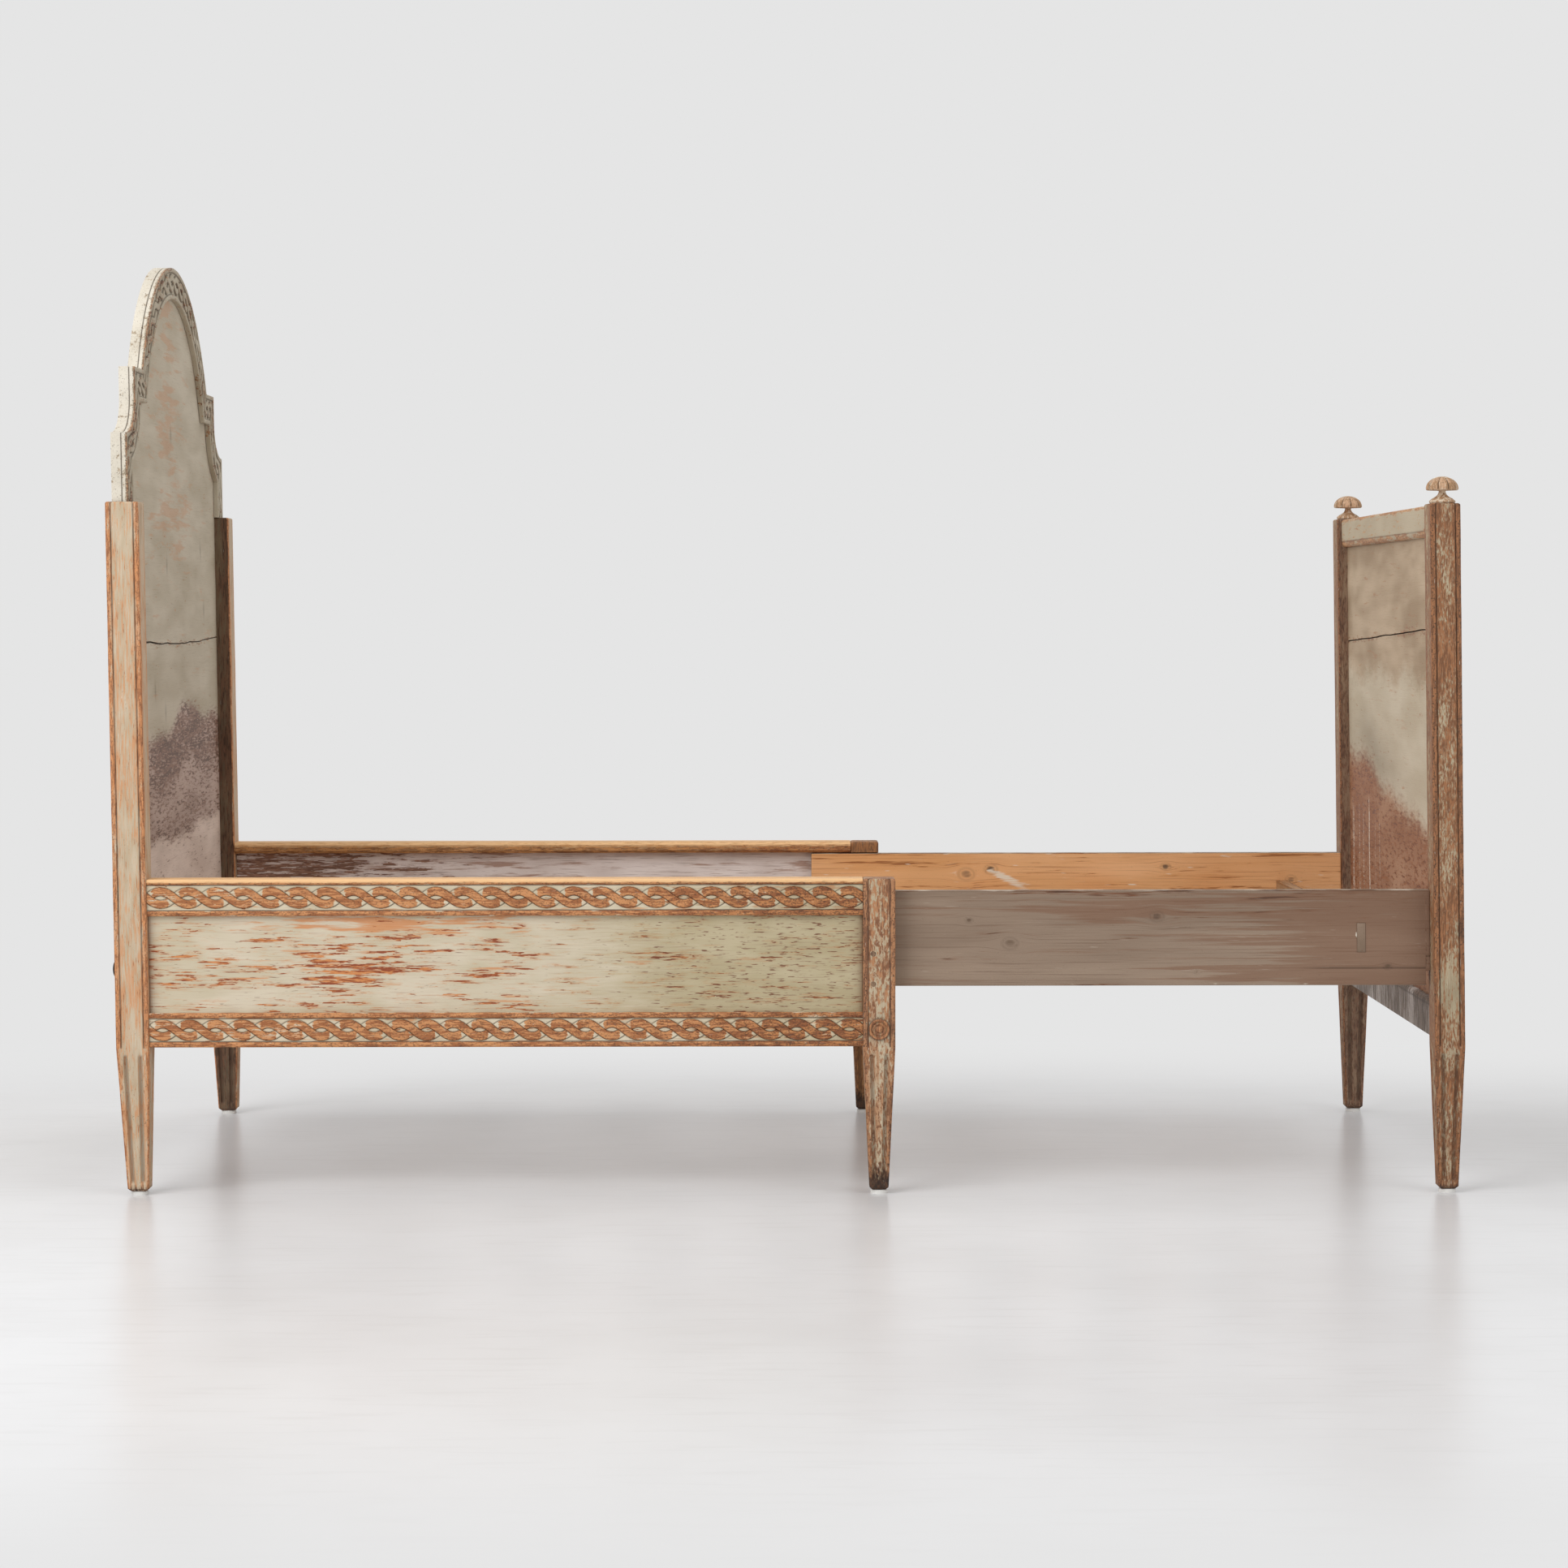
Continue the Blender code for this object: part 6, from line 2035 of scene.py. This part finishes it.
@dataclass
class BedBolts(SubAssembly):
    """The two bed bolts of a section, with domed heads."""

    finish: ForgedIron
    seat_x: float
    inner_x: float
    depth: float
    z: float
    radius: float = 0.004
    head_radius: float = 0.011
    head_height: float = 0.005
    reach: float = 0.062

    def bolt(self) -> Skin:
        """Turns a bolt whose shank passes from the head's seat through the inner face and on by its reach.

        Returns:
            The upright bolt on the right-hand side.
        """
        inward = 1.0 if self.inner_x > self.seat_x else -1.0
        length = abs(self.inner_x - self.seat_x) + self.reach
        angle = np.linspace(0.08, math.pi / 2, 10)
        rise = self.plan.clear + self.head_height * (0.35 + 0.65 * np.cos(angle))
        dome = np.stack([-rise, self.head_radius * np.sin(angle)], axis=1)
        tail = [(-self.plan.clear, self.head_radius), (-self.plan.clear, self.radius), (length, self.radius)]
        centre = (self.seat_x, self.depth - self.plan.half, self.z)
        return turned(np.concatenate([dome, tail]), centre, (inward, 0.0, 0.0), 28)

    def build(self) -> None:
        """Seats the bolt on both sides of the bed."""
        label = self.half.label
        self.seat_pair(f"forged_{label}_bolt_{{}}", self.bolt(), self.finish, Slot.IRON, f"{label}_bolt_{{}}")


def dress_solids(iron: ForgedIron, felt: PressedFelt) -> None:
    """Dresses the solids that keep their own shape.

    Args:
        iron: the nuts' finish.
        felt: the pads' finish.
    """
    for name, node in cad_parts.items():
        finish = felt if "_pad_" in name else iron if "_nut_" in name else None
        if finish:
            node.data.materials.clear()
            node.data.materials.append(finish.material())
            LOG.info("%s: keeps its solid, in %s", name, finish.name)


# Studio

@dataclass(frozen=True)
class Lamp:
    """A square soft lamp: its name, its place, the length of its sides and its power in watts."""

    name: str
    place: Place
    size: float
    power: float

    def hang(self, aim: Place) -> None:
        """Hangs the lamp so that it looks at a point.

        Args:
            aim: the point.
        """
        data = bpy.data.lights.new(self.name, "AREA")
        data.size = self.size
        data.energy = self.power
        lamp = bpy.data.objects.new(self.name, data)
        lamp.location = self.place
        lamp.rotation_euler = (Vector(aim) - Vector(self.place)).to_track_quat("-Z", "Y").to_euler()
        bpy.context.scene.collection.objects.link(lamp)


@dataclass(frozen=True)
class Studio:
    """A pale floor that runs out into a plain backdrop, soft lamps, and the camera of the photograph."""

    eye: Place = (-0.018, -5.920, 0.842)
    pitch: float = 0.04463
    yaw: float = 0.00235
    roll: float = -0.00153
    focal_px: float = 4641.7
    image_px: float = 1932.0
    sensor_mm: float = 36.0
    floor_finish: PolishedFloor = PolishedFloor()
    floor_radius: float = 14.0
    floor_corners: int = 96
    world_level: float = 0.53
    aim: Place = (0.0, 0.0, 0.5)
    lamps: tuple[Lamp, ...] = (Lamp("key_lamp", (-3.0, -3.5, 3.4), 3.4, 148.0),
                               Lamp("fill_lamp", (3.4, -3.2, 2.6), 3.0, 40.0),
                               Lamp("overhead_lamp", (-0.4, 0.4, 4.4), 4.0, 48.0))

    def camera(self) -> None:
        """Aims the camera by yaw, pitch and roll from the eye."""
        cy, sy, cp, sp = math.cos(self.yaw), math.sin(self.yaw), math.cos(self.pitch), math.sin(self.pitch)
        forward = Vector((sy * cp, cy * cp, -sp))
        level = Vector((cy, -sy, 0.0))
        upright = level.cross(forward)
        right = level * math.cos(self.roll) + upright * math.sin(self.roll)
        up = upright * math.cos(self.roll) - level * math.sin(self.roll)
        data = bpy.data.cameras.new("photo_camera")
        data.sensor_width = self.sensor_mm
        data.lens = self.focal_px / self.image_px * self.sensor_mm
        camera = bpy.data.objects.new("photo_camera", data)
        axes = Matrix((right, up, -forward)).transposed().to_4x4()
        camera.matrix_world = Matrix.Translation(self.eye) @ axes
        bpy.context.scene.collection.objects.link(camera)
        bpy.context.scene.camera = camera

    def world(self) -> None:
        """Lights the room evenly and shows the plain backdrop to the camera and to glossy surfaces."""
        graph = Graph(bpy.data.worlds.new("studio"))
        camera_ray, glossy_ray = (graph.add("LightPath", {}, out=ray) for ray in (0, 3))
        seen = graph.add("Math", {0: camera_ray, 1: glossy_ray}, operation="MAXIMUM")
        light = graph.add("Background", {"Color": (1.0, 1.0, 1.0, 1.0), "Strength": self.world_level})
        wall = graph.add("Background", {"Color": linear(self.floor_finish.backdrop)})
        choice = graph.add("MixShader", {0: seen, 1: light, 2: wall})
        graph.add("OutputWorld", {"Surface": choice})
        bpy.context.scene.world = graph.owner

    def floor(self) -> None:
        """Lays a round floor under the bed."""
        angle = np.arange(self.floor_corners) * 2.0 * math.pi / self.floor_corners
        rim = self.floor_radius * surface(np.cos(angle), np.sin(angle), 0.0)
        mesh = bpy.data.meshes.new("studio_floor")
        mesh.from_pydata(rim.tolist(), [], [list(range(len(rim)))])
        mesh.materials.append(self.floor_finish.material())
        floor = bpy.data.objects.new("studio_floor", mesh)
        bpy.context.scene.collection.objects.link(floor)

    def build(self) -> None:
        """Sets the camera, the lamps, the world and the floor."""
        bpy.context.scene.view_settings.view_transform = "Standard"
        self.camera()
        for lamp in self.lamps:
            lamp.hang(self.aim)
        self.world()
        self.floor()


# The bed's own finishes

# Pale sage, flaked in dashes and small islands, over red-brown timber; darker khaki towards the foot end,
# partly painted shade
SIDE_PANEL = PaintedTimber(
    "flaked sage paint on pine", Grain.LENGTHWISE,
    Coat(("CFC3AD", "C2B69C"), ("CA8550", "8C4527"), 0.608, 0.32, 0.60, 0.12),
    inside=Coat(("E8DED9", "D8CCC6"), ("A07A66", "7C5D4D"), 0.66, 0.60, 0.30),
    stained=Coat(("BBAE8F", "AEA07F"), ("B57E50", "703C26"), 0.64, 0.30, 0.85, 0.10),
    grime_and_shade="6B3A28", fleck_pull=0.075, flake_mm=(60.0, 5.0), patch_mm=(110.0, 40.0), patch_pull=0.35,
    speck_mm=(18.0, 2.4), soft_edge=0.40)
# Sage in the hollows, orange timber on the carving's crowns; the rubbed tone is also the painted highlight on
# the cap's top
RAILS = PaintedTimber(
    "rubbed sage paint on carved pine", Grain.LENGTHWISE,
    Coat(("D4C8B0", "C1B499"), ("C68B5B", "9A6039"), 0.56, 0.30, 0.50),
    inside=Coat(("CF9B6A", "B07F52"), ("C38C56", "825732"), 0.54, 0.45, 0.40),
    stained=Coat(("C2B597", "AB9D80"), ("B27748", "814D2D"), 0.53, 0.30, 0.60),
    rubbed="F0C48F", flake_mm=(22.0, 4.0), patch_mm=(160.0, 60.0), patch_pull=0.4, rub_mm=(40.0, 6.0))
# Fine upright streaks of cream and salmon; dark brown on the inner face, partly its paint and partly painted
# shade
HEAD_POSTS = PaintedTimber(
    "streaked salmon and cream paint on pine", Grain.UPRIGHT,
    Coat(("C6B59C", "B6A489"), ("CB8C5C", "9E6844"), 0.68, 0.35, 0.45, 0.45),
    inside=Coat(("74624C", "594B3A"), ("6E4C37", "483322"), 0.58, 0.35, 0.50),
    stained=Coat(("6A5341", "4E3B2E"), ("6F4C36", "3E2A20"), 0.60, 0.30, 0.50),
    flake_mm=(22.0, 2.2), patch_mm=(70.0, 16.0), rub_mm=(34.0, 2.2), rub_strength=0.7, crisp=0.04)
# Sage worn to brown in soft blots, dark at the toe
MID_POSTS = PaintedTimber(
    "rubbed brown and sage paint on pine", Grain.UPRIGHT,
    Coat(("CCBEA4", "B3A489"), ("AE7C56", "7E553B"), 0.555, 0.40, 0.80, 0.55),
    inside=Coat(("A87C54", "906744"), ("9E6C42", "745034"), 0.55, 0.35, 0.50),
    stained=Coat(("4A382C", "33261E"), ("5A3E2C", "2E2019"), 0.60, 0.30, 0.60),
    flake_mm=(8.0, 3.2), blocky=0.2, crisp=0.06)
# Mostly bare red-brown timber with remains of sage
FOOT_POSTS = PaintedTimber(
    "worn red-brown paint with sage remains", Grain.UPRIGHT,
    Coat(("B0A287", "9A8C72"), ("9C6A46", "754E33"), 0.455, 0.40, 0.80, 0.50),
    inside=Coat(("8E7660", "7A624E"), ("7E5C47", "5A4234"), 0.55, 0.35, 0.50),
    stained=MID_POSTS.stained, flake_mm=(8.0, 2.4), patch_mm=(90.0, 24.0), patch_pull=0.55,
    rub_mm=(30.0, 3.0), blocky=0.2, crisp=0.10)
# Even sage; cream along the outer edge as a painted highlight
CREST = PaintedTimber(
    "sage paint on a carved crest", Grain.CROSSWISE,
    Coat(("C0B6A2", "A69A84"), ("A87C58", "765540"), 0.66, 0.15, 0.40),
    stained=Coat(("DFD8CA", "CDC5B5"), ("B7A58E", "94846E"), 0.66, 0.30, 0.50), flake_mm=(14.0, 9.0))
# Soft grey-beige with a brown stain low down and a rosy foot
HEAD_PANEL = PaintedTimber(
    "grey-beige paint on wide pine boards", Grain.CROSSWISE,
    Coat(("C5BAA6", "B3A791"), ("C08C66", "857059"), 0.74, 0.20, 0.22),
    inside=Coat(("E3CFC0", "D0BBAC"), ("A98A7A", "8E7161"), 0.68, 0.26, 0.30, 0.30),
    stained=Coat(("BDA598", "A68E80"), ("8A6957", "664A3B"), 0.57, 0.32, 0.30, 0.45),
    flake_mm=(30.0, 4.0), patch_mm=(240.0, 60.0), patch_pull=0.3, rub_mm=(130.0, 14.0), rub_strength=0.45,
    blocky=0.2, crisp=0.07, soft_edge=0.40)
# Even sage, rubbed along the mouldings
FOOT_TOP = PaintedTimber(
    "sage paint with rubbed edges", Grain.CROSSWISE,
    Coat(("BFB29A", "B1A289"), ("C49468", "A0724E"), 0.66, 0.12, 0.20), blocky=0.2, crisp=0.06)
# Beige that runs out into red timber low down
FOOT_PANEL = PaintedTimber(
    "beige paint rubbed to red pine", Grain.CROSSWISE,
    Coat(("BFAA90", "A08A70"), ("A67C5C", "88624B"), 0.74, 0.20, 0.20),
    inside=Coat(("CDC1AB", "BEB098"), ("B88C6C", "967258"), 0.73, 0.12, 0.20),
    stained=Coat(("B0876A", "986A4E"), ("98623F", "784A31"), 0.56, 0.22, 0.20, 0.35),
    rubbed="DCCDBC", flake_mm=(30.0, 7.0), patch_mm=(260.0, 70.0), patch_pull=0.3, blocky=0.2, crisp=0.06,
    soft_edge=0.38)
# Chalky grey with soft dark runs
FOOT_BOTTOM = PaintedTimber(
    "chalky grey paint with dark runs", Grain.UPRIGHT,
    Coat(("C4BCB6", "ACA49C"), ("897A6E", "5C4E43"), 0.605, 0.25, 0.45), flake_mm=(42.0, 7.0), blocky=0.2,
    crisp=0.10)
# Beige, rubbed on the lobes, with painted shade between them
FINIAL = PaintedTimber(
    "rubbed beige paint on turned birch", Grain.UPRIGHT,
    Coat(("DCCAB2", "C9B499"), ("C49E7E", "A07C5A"), 0.60, 0.20, 0.30), flake_mm=(12.0, 5.0))
# Orange on the rings; dark in the hollows and at the foot as painted shade
ROSETTE = PaintedTimber(
    "rubbed orange timber in a dark seat", Grain.UPRIGHT,
    Coat(("B59A7A", "9C8062"), ("B88258", "845539"), 0.48, 0.30, 0.50), flake_mm=(9.0, 4.0))
# Small dark rounds
PEG = PaintedTimber(
    "dark oak end grain", Grain.CROSSWISE,
    Coat(("8E745B", "785F4B"), ("6E5340", "543E30"), 0.55, 0.30, 0.50), flake_mm=(6.0, 3.0))
# Warm and dry, with long fine grain
PINE = PaintedTimber(
    "old bare pine", Grain.LENGTHWISE, Coat(("B9926C", "A37C58"), ("966A43", "7A5738"), 0.64, 0.50, 0.20),
    flake_mm=(160.0, 6.0), patch_mm=(400.0, 60.0), grain_mm=(140.0, 1.6), blocky=0.0, crisp=0.03,
    relief_mm=0.25)
# The same across the bed, grey-brown at the tenons' ends
CROSS_PINE = replace(
    PINE, name="old bare pine across the bed", grain=Grain.CROSSWISE,
    stained=Coat(("8A7563", "7A6654"), ("7A5944", "5E4434"), 0.72, 0.20, 0.10, 0.10))
# Grey-brown and weathered outside, fresh orange inside, dark at the knots
BOARD = replace(
    PINE, name="weathered grey-brown pine",
    coat=Coat(("968270", "867261"), ("744A31", "573C2C"), 0.72, 0.45, 0.14, 0.18),
    inside=Coat(("EAB685", "DBA26C"), ("D2955C", "9E663A"), 0.66, 0.60, 0.18, 0.40),
    stained=Coat(("705C4B", "5A4838"), ("5C4737", "44332A"), 0.58, 0.50, 0.40),
    rubbed="E6DCCB", rub_mm=(260.0, 7.0), rub_strength=0.48, grain_mm=(170.0, 1.5))


def main() -> None:
    """Builds the studio and every sub-assembly in order."""
    logging.basicConfig(level=logging.INFO, format="%(name)s %(message)s")
    plan = Plan.from_frame()
    head, foot, iron = Half.HEAD, Half.FOOT, ForgedIron()
    head_bolt_depth = (plan.panel_front_depth + plan.panel_back_depth) / 2
    foot_bolt_depth = (plan.board_front_depth + plan.board_back_depth) / 2
    Studio().build()
    Post(plan, head, "head", plan.head_back, plan.head_post_width, plan.head_post_top, toe=0.031,
         toe_shift=0.0025, finish=HEAD_POSTS, seed=1.1, rub=0.75).build()
    Post(plan, head, "mid", plan.mid_back, plan.mid_front - plan.mid_back, plan.side_top, toe=0.0275,
         toe_shift=0.0, finish=MID_POSTS, seed=2.3, rub=0.6, notch=(plan.ledger_top, plan.cap_bottom),
         rosette_z=plan.rosette_z, toe_grime_and_shade=0.85, toe_reach=0.05).build()
    Post(plan, foot, "foot", plan.foot_back, plan.foot_post_width, plan.foot_post_top, toe=0.029,
         toe_shift=-0.0025, finish=FOOT_POSTS, seed=3.7, rub=0.5, recess_z=plan.board_middle,
         kept_z=0.295).build()
    CarvedSide(plan, head, RAILS, SIDE_PANEL, ROSETTE, PEG).build()
    Headboard(plan, head, CREST, HEAD_PANEL, CROSS_PINE).build()
    Footboard(plan, foot, FOOT_TOP, FOOT_PANEL, FOOT_BOTTOM, FINIAL).build()
    PullOut(plan, foot, PINE, CROSS_PINE, BOARD).build()
    SlideBed(plan, head, PINE, CROSS_PINE).build()
    BedBolts(plan, head, iron, plan.head_back, plan.head_front, head_bolt_depth, plan.side_middle).build()
    BedBolts(plan, foot, iron, plan.foot_front - plan.bolt_recess, plan.foot_back, foot_bolt_depth,
             plan.board_middle).build()
    dress_solids(iron, PressedFelt())


if __name__ == "__main__":
    main()
